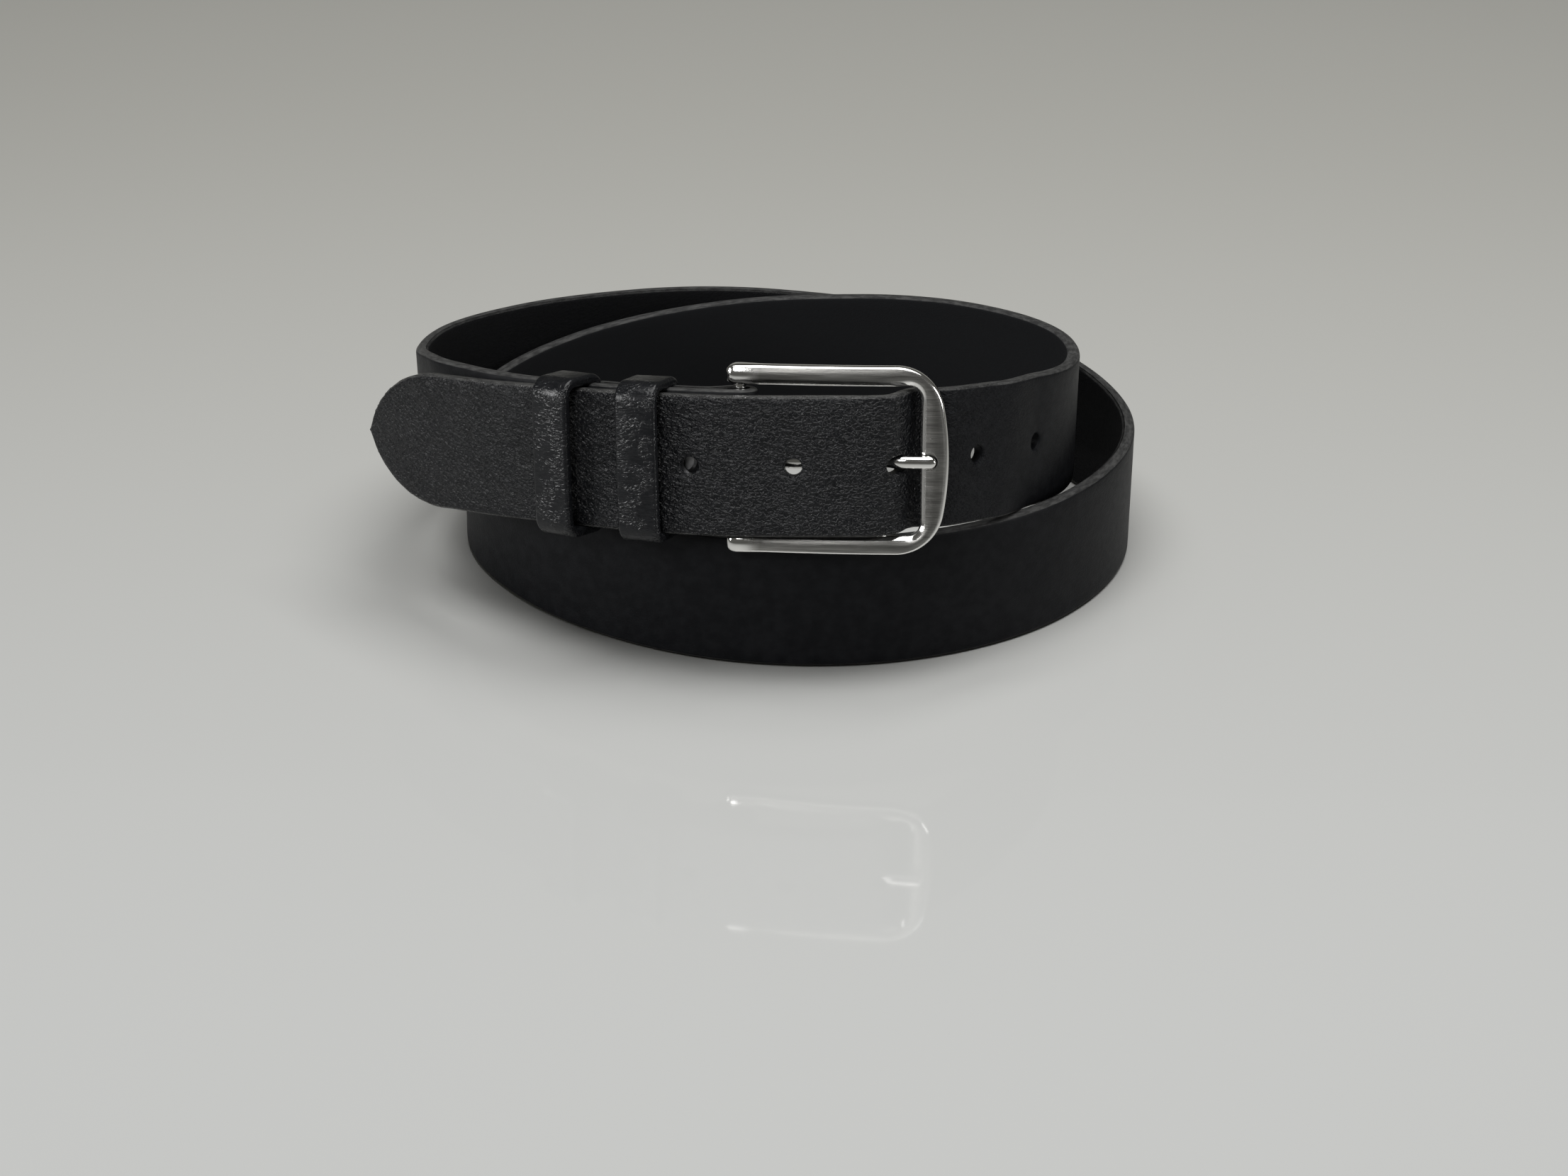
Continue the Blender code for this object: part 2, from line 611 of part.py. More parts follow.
def turned(name, profile, matrix, material, segments=ROUND_SEGMENTS):
    """A turned piece: the profile's points are radius and height on the local Z axis."""
    mesh = bpy.data.meshes.new(name)
    work = bmesh.new()
    verts = [work.verts.new((radius, 0.0, height)) for radius, height in profile]
    for first, second in zip(verts, verts[1:]):
        work.edges.new((first, second))
    work.to_mesh(mesh)
    work.free()
    item = new_object(name, mesh, material, matrix)
    screw = item.modifiers.new("turned", "SCREW")
    screw.steps = segments
    screw.render_steps = segments
    screw.use_merge_vertices = True
    screw.merge_threshold = 0.00001
    return item


def make_heel_bar():
    """A pin through both lugs, with low domed ends that lie flush with the frame."""
    radius = HEEL_BAR_DIAMETER / 2
    end = FRAME_HEIGHT / 2 - HEEL_BAR_DOME
    dome = [(radius * math.cos(a), end + HEEL_BAR_DOME * math.sin(a))
            for a in (math.pi / 2, math.pi / 3, math.pi / 6, 0.0)]
    dome[0] = (0.0, dome[0][1])
    profile = dome + [(r, -z) for r, z in reversed(dome)]
    bar = turned("heel_bar", profile, buckle_matrix() @ TURN_UP, POLISHED_NICKEL)
    smooth(bar, 50)
    return bar


def prong_rows(points, grow=0.0):
    """Rows of a tongue through points given as u and n, grown all round by a clearance."""
    last_u = FRAME_REACH - PRONG_OVERHANG
    rows = []
    for u, n in points:
        to_tip = last_u - u
        half = PRONG_WIDTH / 2 + (PRONG_TIP_WIDTH - PRONG_WIDTH) / 2 * ease(u / last_u)
        if to_tip < half:
            half *= math.sqrt(max(1 - (1 - to_tip / half) ** 2, 0.08))
        half += grow
        rows.append((Vector((u, -half, n)), Vector((u, half, n)), PRONG_THICKNESS + 2 * grow))
    return rows


def prong_shank():
    """The run of the prong from the eye to its tip, as u and n."""
    return [(float(u), prong_n(float(u)))
            for u in np.linspace(SHANK_FROM, FRAME_REACH - PRONG_OVERHANG, 26)]


def prong_way():
    """What the prong presses back at the hole in use: its own shape, with clearance."""
    near = [point for point in prong_shank() if point[0] > HOLE_U - PRESS_LENGTH]
    rows = prong_rows(near, FIT)
    return cutter(ribbon("prong_way", rows, PRONG_THICKNESS + 2 * FIT, None, 1, cutters, buckle_matrix()))


def make_prong():
    """A tongue: its eye wraps the heel bar, and its tip lies in the front bar's notch."""
    eye = HEEL_BAR_DIAMETER / 2 + FIT + PRONG_THICKNESS / 2
    line = []
    for i in range(11):
        angle = math.radians(-150 + 240 * i / 10)
        line.append((-eye * math.cos(angle), eye * math.sin(angle)))
    rows = prong_rows(line + prong_shank())
    prong = ribbon("prong", rows, PRONG_THICKNESS, POLISHED_NICKEL, 1, matrix=buckle_matrix())
    rounded(prong, 0.28 * PRONG_THICKNESS, 2)
    smooth(prong)
    return prong


def rounded_box(width, height, radius, steps=4):
    points = []
    for cx, cy, start in ((1, 1, 0), (-1, 1, 90), (-1, -1, 180), (1, -1, 270)):
        for i in range(steps + 1):
            angle = math.radians(start + 90 * i / steps)
            points.append((cx * (width / 2 - radius) + radius * math.cos(angle),
                           cy * (height / 2 - radius) + radius * math.sin(angle)))
    return points


def covered_box(turn, place, travel, folded):
    """Least and greatest local Y and Z of the leather that a keeper runs round."""
    degrees = math.degrees((KEEPER_LENGTH / 2 + travel) / (radius_at(turn) * COIL_RADIUS))
    flap = FIT + FOLD_THICKNESS if folded else 0.0
    local = []
    for under in np.linspace(turn - degrees, turn + degrees, 7):
        for layer, inward in ((under, flap), (under + 720.0, 0.0)):
            middle, along, normal, across = strap_axes(layer)
            wall = leather_at(layer) / 2
            for share in (-0.5, 0.5):
                edge = middle + across * STRAP_WIDTH * share
                local.append(place @ (edge + normal * wall))
                local.append(place @ (edge - normal * (wall + inward)))
    return [(min(p[axis] for p in local), max(p[axis] for p in local)) for axis in (1, 2)]


def make_keeper(name, turn, travel, folded):
    """A leather loop round the tail and what lies under it, with room to travel along them."""
    place = strap_matrix(turn)
    (inner, outer), (low, high) = covered_box(turn, place.inverted(), travel, folded)
    bore = outer - inner + 2 * FIT
    height = high - low + 2 * FIT
    place = place @ Matrix.Translation((0, (inner + outer) / 2, (low + high) / 2))
    outline = bpy.data.curves.new(name, "CURVE")
    outline.dimensions = "2D"
    outline.fill_mode = "BOTH"
    outline.extrude = KEEPER_LENGTH / 2 - KEEPER_EDGE
    outline.bevel_depth = KEEPER_EDGE
    outline.bevel_resolution = 1
    grow = KEEPER_WALL - KEEPER_EDGE
    loops = (rounded_box(bore + 2 * grow, height + 2 * grow, KEEPER_CORNER + grow),
             rounded_box(bore + 2 * KEEPER_EDGE, height + 2 * KEEPER_EDGE, KEEPER_CORNER))
    for loop in loops:
        spline = outline.splines.new("POLY")
        spline.points.add(len(loop) - 1)
        spline.use_cyclic_u = True
        for point, (x, y) in zip(spline.points, loop):
            point.co = (x, y, 0.0, 1.0)
    guide = new_object(name + "_outline", outline, None, None, cutters)
    bpy.context.view_layer.update()
    mesh = bpy.data.meshes.new_from_object(guide.evaluated_get(bpy.context.evaluated_depsgraph_get()))
    bpy.data.objects.remove(guide, do_unlink=True)
    work = bmesh.new()
    work.from_mesh(mesh)
    bmesh.ops.remove_doubles(work, verts=work.verts, dist=0.00001)
    bmesh.ops.recalc_face_normals(work, faces=work.faces)
    work.to_mesh(mesh)
    work.free()
    mesh.name = name
    # the outline's X is the depth of the bore, its Y the width of the strap, its Z the length
    stand = Matrix(((0, 0, 1), (1, 0, 0), (0, 1, 0))).to_4x4()
    keeper = new_object(name, mesh, KEEPER_LEATHER, place @ stand)
    smooth(keeper, 50)
    return keeper


def make_fold_screw(number, turn):
    """A two-part screw: the post's head lies under the tail, the screw's head inside the coil."""
    face = FOLD_THICKNESS / 2
    depth = 2 * FOLD_THICKNESS + FIT - HEAD_RECESS
    outward = strap_matrix(turn, face - HEAD_RECESS) @ TURN_UP
    head = SCREW_HEAD / 2
    barrel = BARREL_DIAMETER / 2
    bore = SHANK_DIAMETER / 2 + FIT
    top = FIT + SCREW_HEAD_THICKNESS
    post = [(0.0, top), (head * 0.8, top), (head, top - 0.35 * SCREW_HEAD_THICKNESS), (head, FIT),
            (barrel, FIT), (barrel, -depth), (bore, -depth), (bore, -BARREL_FLOOR), (0.0, -BARREL_FLOOR)]
    bend = (SCREW_HEAD / 2) ** 2 / (2 * radius_at(turn) * MM)
    under = -depth - FIT - bend
    low = under - SCREW_HEAD_THICKNESS
    shank = SHANK_DIAMETER / 2
    screw = [(0.0, -BARREL_FLOOR - 2 * FIT), (shank, -BARREL_FLOOR - 2 * FIT), (shank, under), (head, under),
             (head, low + 0.35 * SCREW_HEAD_THICKNESS), (head * 0.8, low), (0.0, low)]
    post_item = turned(f"fold_post_{number}", post, outward, DARK_STEEL, 20)
    screw_item = turned(f"fold_screw_{number}", screw, outward, DARK_STEEL, 20)
    slot_place = outward @ Matrix.Translation((0, 0, low))
    slot = box_cutter(f"driver_slot_{number}", (SCREW_HEAD * 1.2, DRIVER_SLOT, DRIVER_SLOT), slot_place)
    cut(screw_item, slot)
    return post_item, screw_item


def main():
    make_strap()
    frame = make_frame()
    bar = make_heel_bar()
    prong = make_prong()
    make_keeper("keeper_fixed", FIXED_KEEPER_TURN, 0.0, True)
    free = make_keeper("keeper_free", FREE_KEEPER_TURN, KEEPER_TRAVEL, False)
    for number, turn in enumerate(SCREW_TURNS, 1):
        make_fold_screw(number, turn)

    # Stand the whole belt with the middle of its footprint over the origin
    bpy.context.view_layer.update()
    depsgraph = bpy.context.evaluated_depsgraph_get()
    corners = []
    for item in parts.objects:
        shape = item.evaluated_get(depsgraph)
        corners += [shape.matrix_world @ vert.co for vert in shape.data.vertices]
    low = Vector([min(corner[axis] for corner in corners) for axis in range(3)])
    high = Vector([max(corner[axis] for corner in corners) for axis in range(3)])
    shift = Matrix.Translation((-(low.x + high.x) / 2, -(low.y + high.y) / 2, -low.z))
    for item in list(parts.objects) + list(cutters.objects):
        item.matrix_world = shift @ item.matrix_world
    bpy.context.view_layer.update()
    print("size mm", [round(value / MM, 1) for value in high - low])
    print("strap length heel bar to tip mm", round(STRAP_LENGTH / MM, 1))
    print("least gap of the coil to itself mm", round(least_gap() / MM, 2))
    print("coil centre m", [round(value, 5) for value in shift.translation])
    for item in (frame, bar, prong, free):
        print(item.name, "origin", [round(v, 5) for v in item.matrix_world.translation],
              "X", [round(v, 5) for v in item.matrix_world.col[0][:3]],
              "Z", [round(v, 5) for v in item.matrix_world.col[2][:3]])


main()
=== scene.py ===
# Black leather dress belt with a pin buckle, stood on edge in a loose coil of two turns
import math

import bpy
import numpy as np
from mathutils import Matrix, Vector, noise


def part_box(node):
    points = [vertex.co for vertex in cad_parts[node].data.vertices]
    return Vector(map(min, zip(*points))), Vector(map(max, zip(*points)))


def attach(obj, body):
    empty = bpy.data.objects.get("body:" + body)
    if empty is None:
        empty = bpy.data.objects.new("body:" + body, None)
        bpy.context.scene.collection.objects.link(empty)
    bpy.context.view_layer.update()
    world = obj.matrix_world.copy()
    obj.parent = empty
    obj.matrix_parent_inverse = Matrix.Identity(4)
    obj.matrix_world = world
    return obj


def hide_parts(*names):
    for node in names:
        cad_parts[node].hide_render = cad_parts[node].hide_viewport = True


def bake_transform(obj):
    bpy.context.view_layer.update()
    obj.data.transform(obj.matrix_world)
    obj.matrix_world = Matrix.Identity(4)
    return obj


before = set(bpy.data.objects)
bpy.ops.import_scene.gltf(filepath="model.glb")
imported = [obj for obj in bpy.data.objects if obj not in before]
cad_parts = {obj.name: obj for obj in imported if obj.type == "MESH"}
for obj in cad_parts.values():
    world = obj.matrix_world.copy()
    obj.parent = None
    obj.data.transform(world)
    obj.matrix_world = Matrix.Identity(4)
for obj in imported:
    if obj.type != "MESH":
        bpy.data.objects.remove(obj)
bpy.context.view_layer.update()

mm = 0.001
deg = math.radians


# where the strap runs: the same line as in the CAD model
strap = {
    "width": 35.0 * mm, "thickness": 3.5 * mm, "foldThickness": 2.6 * mm,
    "flapLength": 37.6 * mm, "skiveLength": 14.0 * mm, "flapClosesIn": 9.0 * mm,
    "tipLength": 27.0 * mm, "tipNose": 3.0 * mm, "tailLength": 114.0 * mm,
    "holeDiameter": 4.3 * mm, "holePitch": 25.4 * mm, "wornHole": 1.6 * mm,
    "edgeRound": 1.15 * mm, "slotBack": 5.0 * mm, "holeFromBar": 2.2 * mm, "swell": 0.05, "tailSwell": 0.07,
    "ripple": 0.04,
}
coil = {
    "radius": 81.2 * mm, "crossingGap": 6.0 * mm, "heelTurn": 7.0, "lead": 1.3, "leansFrom": 648.0,
    "plainBarOut": 1.0271,  # the bar's distance from the middle at which the first turn stays round
}
buckle = {
    "fit": 0.4 * mm, "heelBar": 3.2 * mm, "windowPlay": 1.1 * mm, "armWidth": 4.9 * mm,
    "reach": 51.6 * mm,
    "bar": 7.0 * mm, "thickness": 3.6 * mm, "corner": 12.0 * mm, "windowCorner": 2.9 * mm,
    "sideBow": 2.3 * mm, "arch": 1.6 * mm, "drop": 0.3 * mm, "swing": 1.3, "lugThickness": 5.4 * mm,
    "lugLength": 7.0 * mm, "lugEnd": 3.3 * mm, "notch": 0.8 * mm, "polishedEnd": 4.5,
    "innerBevel": 1.15 * mm, "bevelDrop": 0.55, "outerBevel": 0.95 * mm, "crown": 0.085,
}
prong = {
    "width": 3.8 * mm, "tipWidth": 3.2 * mm, "thickness": 2.4 * mm, "overhang": 3.0 * mm, "dip": 1.2 * mm,
    "blunt": 1.7 * mm, "ring": 36, "play": 0.45 * mm,
}

stackGap = 2 * buckle["fit"]
rise = strap["width"] + coil["crossingGap"]
foldRadius = buckle["heelBar"] / 2 + buckle["fit"] + strap["foldThickness"] / 2
overHeel = coil["heelTurn"] + 720.0


def barPlace():
    turnedIn = deg(buckle["swing"] + coil["lead"])
    reach = buckle["reach"] - buckle["bar"]
    out = coil["radius"] - strap["foldThickness"] / 2 - foldRadius - reach * math.sin(turnedIn)
    aside = reach * math.cos(turnedIn)
    return overHeel - math.degrees(math.atan2(aside, out)), math.hypot(aside, out) / coil["radius"]


barTurn, barOut = barPlace()
barToHeel = overHeel - barTurn
bulge = barOut - coil["plainBarOut"]

# turn angle in degrees clockwise from the front, radius as a share of the coil's, rise of the lower
# edge as a share, inward lean of the top edge in degrees, and what the radius is measured to:
# -1 the outer face, 0 the middle, 1 what lies under the inner face
stations = (
    (-15, 0.9926, 0.992, 12.5, -1), (7, 1.0000, 0.985, 12.5, -1), (20, 1.0062, 0.958, 11.0, -1),
    (32, 1.0160, 0.910, 9.0, -1), (42, 1.0345, 0.862, 7.6, -1), (52, 1.0714, 0.810, 6.0, -1),
    (62, 1.1158, 0.755, 3.5, -1), (74, 1.1416, 0.668, 0.5, 0), (90, 1.1675, 0.510, -2.5, 0),
    (106, 1.1626, 0.405, -3.0, 0), (125, 1.1108, 0.320, -1.5, 0), (150, 1.0714, 0.232, 0.0, 0),
    (180, 1.0714, 0.146, 0.0, 0), (210, 1.1244, 0.073, 0.0, 0), (240, 1.1798, 0.018, 0.0, 0),
    (265, 1.1724, 0.000, 0.0, 0), (300, 1.0764, 0.000, 0.0, 0), (330, 0.9889, 0.000, 0.0, 0),
    (360, 0.9286, 0.000, 0.0, 0), (390, 0.9101, 0.000, 0.0, 0), (420, 0.9470, 0.000, 0.0, 0),
    (447, 1.0222, 0.000, 0.0, 0), (468, 1.0505, 0.006, 0.0, 0), (495, 0.9901, 0.085, 0.0, 0),
    (525, 0.8793, 0.210, 0.0, 0), (560, 0.8030, 0.350, 0.0, 0), (595, 0.8399, 0.485, 0.0, 0),
    (625, 0.9335, 0.598, 0.0, 0), (648, 0.9778, 0.701, 0.0, 0), (666, 0.9877, 0.817, 5.0, 0),
    (barTurn - 17.2, 0.9852, 0.899, 9.5, 1), (barTurn - 8.8, barOut - 0.0677, 0.949, 11.2, 1),
    (barTurn - 5.3, barOut - 0.0579, 0.969, 11.8, 1), (barTurn - 3.3, barOut - 0.0665, 0.972, 12.1, 1),
    (barTurn - 1.3, barOut - 0.0788, 0.977, 12.3, 1), (barTurn + 0.3, barOut - 0.0776, 0.981, 12.4, 1),
    (barTurn + 2.3, barOut - 0.0616, 0.988, 12.5, 1), (barTurn + 3.8, barOut - 0.0431, 0.993, 12.5, 1),
    (barTurn + 5.1, barOut - 0.0320, 0.997, 12.5, 1), (barTurn + 8.0, barOut - 0.0271, 1.005, 12.5, 1),
    (barTurn + 0.403 * barToHeel, 1.0 + 0.69 * bulge, 1.007, 12.5, 1),
    (barTurn + 0.578 * barToHeel, 1.0 + 0.31 * bulge, 1.003, 12.5, 1),
    (barTurn + 0.773 * barToHeel, 1.0 + 0.06 * bulge, 0.995, 12.5, 1),
    (727, 1.0000, 0.985, 12.5, 1), (740, 1.0062, 0.958, 11.0, 1), (752, 1.0172, 0.910, 9.0, 1),
    (762, 1.0456, 0.862, 7.6, 1), (772, 1.0961, 0.802, 6.6, 1), (782, 1.1687, 0.735, 6.0, 1),
    (795, 1.3116, 0.630, 5.5, 1), (802, 1.4039, 0.570, 5.0, 1),
)


def curveThrough(column):
    knots = np.array([station[0] for station in stations], float)
    values = np.array([station[column] for station in stations], float)
    steps = np.diff(values) / np.diff(knots)
    slopes = np.concatenate(([steps[0]], (steps[:-1] + steps[1:]) / 2, [steps[-1]]))
    level = np.concatenate(([False], steps[:-1] * steps[1:] <= 0, [False]))
    slopes[level] = 0.0

    def value(turn):
        i = int(np.clip(np.searchsorted(knots, turn) - 1, 0, len(knots) - 2))
        span = knots[i + 1] - knots[i]
        t = (turn - knots[i]) / span
        climb = values[i + 1] - values[i]
        left = slopes[i] * span
        right = slopes[i + 1] * span
        square, cube = 3 * climb - 2 * left - right, left + right - 2 * climb
        return values[i] + t * (left + t * (square + t * cube))

    return value


radiusAt, riseAt, leanAt, seatAt = [curveThrough(column) for column in (1, 2, 3, 4)]


def ease(value):
    value = min(max(value, 0.0), 1.0)
    return value * value * (3.0 - 2.0 * value)


def leatherAt(turn):
    degrees = math.degrees(1.0 / coil["radius"])
    pastFlap = (turn - coil["heelTurn"]) / degrees - strap["flapLength"]
    extra = strap["thickness"] - strap["foldThickness"]
    return strap["foldThickness"] + extra * ease(pastFlap / strap["skiveLength"])


def planPoint(turn):
    seat = seatAt(turn)
    radius = radiusAt(turn) * coil["radius"] + seat * leatherAt(turn) / 2 + max(seat, 0.0) * stackGap
    return Vector((-radius * math.sin(deg(turn)), -radius * math.cos(deg(turn)), riseAt(turn) * rise))


def strapAxes(turn):
    halfStep = 0.2
    along = (planPoint(turn + halfStep) - planPoint(turn - halfStep)).normalized()
    inward = deg(coil["heelTurn"] if coil["leansFrom"] < turn < overHeel else turn)
    lean = deg(leanAt(turn))
    across = Vector((math.sin(inward) * math.sin(lean), math.cos(inward) * math.sin(lean), math.cos(lean)))
    across = (across - along * across.dot(along)).normalized()
    middle = planPoint(turn) + Vector((0, 0, across.z * strap["width"] / 2))
    return middle, along, across.cross(along), across


plyPoint, plyAlong, foldN, buckleW = strapAxes(coil["heelTurn"])
foldU = -plyAlong
heel = plyPoint - foldN * foldRadius
swing = Matrix.Rotation(deg(buckle["swing"]), 3, buckleW)
buckleU, buckleN = swing @ foldU, swing @ foldN
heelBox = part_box("heel_bar")
standAt = (heelBox[0] + heelBox[1]) / 2 - heel  # from the coil's own middle to the CAD frame

turns = np.arange(coil["heelTurn"], stations[-1][0] - 0.5, 0.25)
middles = np.array([strapAxes(turn)[0] for turn in turns])
lengths = np.concatenate(([0.0], np.cumsum(np.linalg.norm(np.diff(middles, axis=0), axis=1))))


def lengthAt(turn):
    return float(np.interp(turn, turns, lengths))


def turnAt(length):
    return float(np.interp(length, lengths, turns))


strapLength = lengthAt(overHeel) + strap["tailLength"]
foldArc = math.pi * foldRadius
flapEnd = -foldArc - strap["flapLength"]


def laidOut():
    # the strap's middle, normal and width direction against its length, from the flap's end to the tip
    rows = []
    closed = strap["foldThickness"] + buckle["fit"]
    clearsBar = buckle["heelBar"] / 2
    for distance in np.linspace(strap["flapLength"], 0.2 * mm, 90):
        middle, along, normal, across = strapAxes(turnAt(distance))
        closing = ease((distance - clearsBar) / (strap["flapClosesIn"] - clearsBar))
        apart = closed + (2 * foldRadius - closed) * (1 - closing)
        rows.append((-foldArc - distance, middle - normal * apart, -normal, across, strap["foldThickness"]))
    for angle in np.linspace(0.0, math.pi, 24):
        outward = foldU * math.sin(angle) - foldN * math.cos(angle)
        rows.append((-foldArc * (1 - angle / math.pi), heel + outward * foldRadius, outward, buckleW,
                     strap["foldThickness"]))
    for length in np.arange(0.6 * mm, strapLength + 1 * mm, 0.6 * mm):
        turn = turnAt(length)
        middle, along, normal, across = strapAxes(turn)
        rows.append((length, middle, normal, across, leatherAt(turn)))
    return [np.array([list(row[i]) if i in (1, 2, 3) else row[i] for row in rows]) for i in range(5)]


laidLengths, laidMiddles, laidNormals, laidAcross, laidWalls = laidOut()


def wound(flat):
    # flat points (length, place across, depth) to their places in the coil, in the CAD frame
    def laid(table):
        return np.stack([np.interp(flat[:, 0], laidLengths, table[:, i]) for i in range(3)], axis=1)

    normals = laid(laidNormals)
    normals /= np.linalg.norm(normals, axis=1)[:, None]
    across = laid(laidAcross)
    across /= np.linalg.norm(across, axis=1)[:, None]
    wall = np.interp(flat[:, 0], laidLengths, laidWalls) / strap["thickness"]
    places = laid(laidMiddles) + across * flat[:, 1:2] + normals * (flat[:, 2] * wall)[:, None]
    return places + np.array(standAt)


def deselectAll():
    if bpy.context.object and bpy.context.object.mode != "OBJECT":
        bpy.ops.object.mode_set(mode="OBJECT")
    bpy.ops.object.select_all(action="DESELECT")


def pick(item):
    deselectAll()
    item.select_set(True)
    bpy.context.view_layer.objects.active = item


def applyModifier(item, kind, **settings):
    pick(item)
    change = item.modifiers.new(kind.lower(), kind)
    for name, value in settings.items():
        setattr(change, name, value)
    bpy.ops.object.modifier_apply(modifier=change.name)


def pointsOf(item):
    points = np.empty(len(item.data.vertices) * 3, np.float32)
    item.data.vertices.foreach_get("co", points)
    return points.reshape(-1, 3).astype(float)


def setPoints(item, points):
    item.data.vertices.foreach_set("co", np.asarray(points, np.float32).ravel())
    item.data.update()


def noteOnPoints(item, name, values):
    # keeps a number or a place on every point, for the materials to read
    values = np.asarray(values, np.float32)
    kind, key = ("FLOAT_VECTOR", "vector") if values.ndim == 2 else ("FLOAT", "value")
    item.data.attributes.new(name, kind, "POINT").data.foreach_set(key, values.ravel())


def tube(name, rows, ring, place, closedLengthways=False):
    # a grid bent round into a tube: place(i, j) gives the point of ring i at step j round it
    deselectAll()
    bpy.ops.mesh.primitive_grid_add(x_subdivisions=rows - 1, y_subdivisions=ring, size=2)
    item = bpy.context.object
    item.name = item.data.name = name
    grid = pointsOf(item)
    i = np.rint((grid[:, 0] + 1) / 2 * (rows - 1)).astype(int)
    j = np.rint((grid[:, 1] + 1) / 2 * ring).astype(int) % ring
    setPoints(item, [place(a, b) for a, b in zip(i, j)])
    bpy.ops.object.mode_set(mode="EDIT")
    bpy.ops.mesh.select_all(action="SELECT")
    bpy.ops.mesh.remove_doubles(threshold=0.000002)
    if not closedLengthways:
        bpy.ops.mesh.select_all(action="DESELECT")
        bpy.ops.mesh.select_mode(type="EDGE")
        bpy.ops.mesh.select_non_manifold()
        bpy.ops.mesh.fill_holes(sides=0)
    bpy.ops.mesh.select_all(action="SELECT")
    bpy.ops.mesh.normals_make_consistent(inside=False)
    bpy.ops.object.mode_set(mode="OBJECT")
    bpy.ops.object.shade_smooth()
    return item


def discard(item):
    bpy.data.objects.remove(item, do_unlink=True)


print("coil laid out, strap of", round(strapLength, 3), "m")


# the strap is cut and punched flat, then wound
def tipHalfWidth(distance):
    half = strap["width"] / 2
    if distance >= strap["tipLength"]:
        return half
    arc = (strap["tipLength"] ** 2 + half ** 2) / (2 * half)
    side = half - arc + math.sqrt(arc ** 2 - (strap["tipLength"] - distance) ** 2)
    nose = math.sqrt(max(1 - (1 - min(distance / strap["tipNose"], 1)) ** 2, 0.0))
    return max(side, 0.35 * strap["tipNose"]) * nose


def strapRowLengths():
    places = list(np.arange(flapEnd, -foldArc - 4 * mm, 2.5 * mm))
    places += list(np.arange(places[-1] + 1.2 * mm, 3 * mm, 0.8 * mm))
    while places[-1] < strapLength - 2 * mm:
        left = strapLength - places[-1]
        overBar = lengthAt(barTurn - 12) < places[-1] < lengthAt(barTurn + 12)
        step = 0.9 * mm if overBar else 2.0 * mm
        if left < strap["tipLength"] + 4 * mm:
            step = max(0.08 * left, 0.25 * mm)
        places.append(places[-1] + step)
    places = [place for place in places if place < strapLength - 1.9 * mm]
    return places + [strapLength - distance * mm for distance in (1.5, 1.0, 0.65, 0.4, 0.2, 0.07, 0.0)]


def strapColumns():
    # distances from one edge of the strap, close together where the edge is rounded
    rounding = [0.0, 0.1 * mm, 0.32 * mm, 0.65 * mm, strap["edgeRound"]]
    inner = list(np.linspace(strap["edgeRound"], strap["width"] - strap["edgeRound"], 15))[1:-1]
    return np.array(rounding + inner + [strap["width"] - value for value in rounding[::-1]])


def edgeDistance(length, across):
    # how far inside the strap's outline a flat point lies
    if strapLength - length > strap["tipLength"] + 5 * mm:
        return min(strap["width"] / 2 - abs(across), length - flapEnd)
    offsets = outline - np.array((length, abs(across)))
    return float(np.sqrt((offsets ** 2).sum(axis=1)).min())


outlineSteps = np.concatenate((np.linspace(0, 1, 60) ** 2 * 3, np.linspace(3, 40, 150))) * mm
outline = np.array([(strapLength - step, tipHalfWidth(step)) for step in outlineSteps])


def makeFlatStrap():
    rowLengths = strapRowLengths()
    columns = strapColumns() / strap["width"]
    count = len(columns)
    half = strap["thickness"] / 2
    rounding = strap["edgeRound"]

    def place(i, j):
        side = 1 if j < count else -1
        share = columns[j] if j < count else columns[2 * count - 1 - j]
        across = (2 * share - 1) * tipHalfWidth(strapLength - rowLengths[i])
        inside = min(edgeDistance(rowLengths[i], across), rounding)
        depth = half - rounding + math.sqrt(max(rounding ** 2 - (rounding - inside) ** 2, 0.0))
        return rowLengths[i], across, side * depth

    return tube("strap_leather", len(rowLengths), 2 * count, place)


def makePunch(length, diameter, drawnOut=0.0):
    # a punch whose ends flare, so that the rim of its hole is rounded
    deselectAll()
    half = strap["thickness"] / 2
    bpy.ops.mesh.primitive_cylinder_add(vertices=36, radius=diameter / 2, depth=2 * half - 1.2 * mm)
    punch = bpy.context.object
    bpy.ops.object.mode_set(mode="EDIT")
    for side in (1, -1):
        for climb, flare in ((0.35 * mm, 1.05), (0.25 * mm, 1.12), (0.6 * mm, 1.16)):
            selectCap(punch, side)
            bpy.ops.mesh.extrude_region_move(TRANSFORM_OT_translate={"value": (0, 0, side * climb)})
            bpy.ops.transform.resize(value=(flare, flare, 1), center_override=(0, 0, 0))
    bpy.ops.object.mode_set(mode="OBJECT")
    points = pointsOf(punch)
    points[:, 0] += np.sign(points[:, 0]) * drawnOut / 2 + length
    setPoints(punch, points)
    return punch


def selectCap(item, side):
    bpy.ops.mesh.select_all(action="DESELECT")
    bpy.ops.object.mode_set(mode="OBJECT")
    bpy.context.tool_settings.mesh_select_mode = (False, False, True)
    top = max(side * face.center.z for face in item.data.polygons)
    for face in item.data.polygons:
        face.select = side * face.center.z > top - 1e-6
    bpy.ops.object.mode_set(mode="EDIT")


def tailInBuckle():
    line = [strapAxes(turn)[0] - heel for turn in np.arange(barTurn - 11, overHeel + 4, 0.25)]
    line = np.array([(step.dot(buckleU), step.dot(buckleN)) for step in line])
    return line[np.argsort(line[:, 0])]


tailLine = tailInBuckle()
barMiddle = buckle["reach"] - buckle["bar"] / 2
holeU = barMiddle - buckle["bar"] / 2 - strap["holeDiameter"] - strap["holeFromBar"]


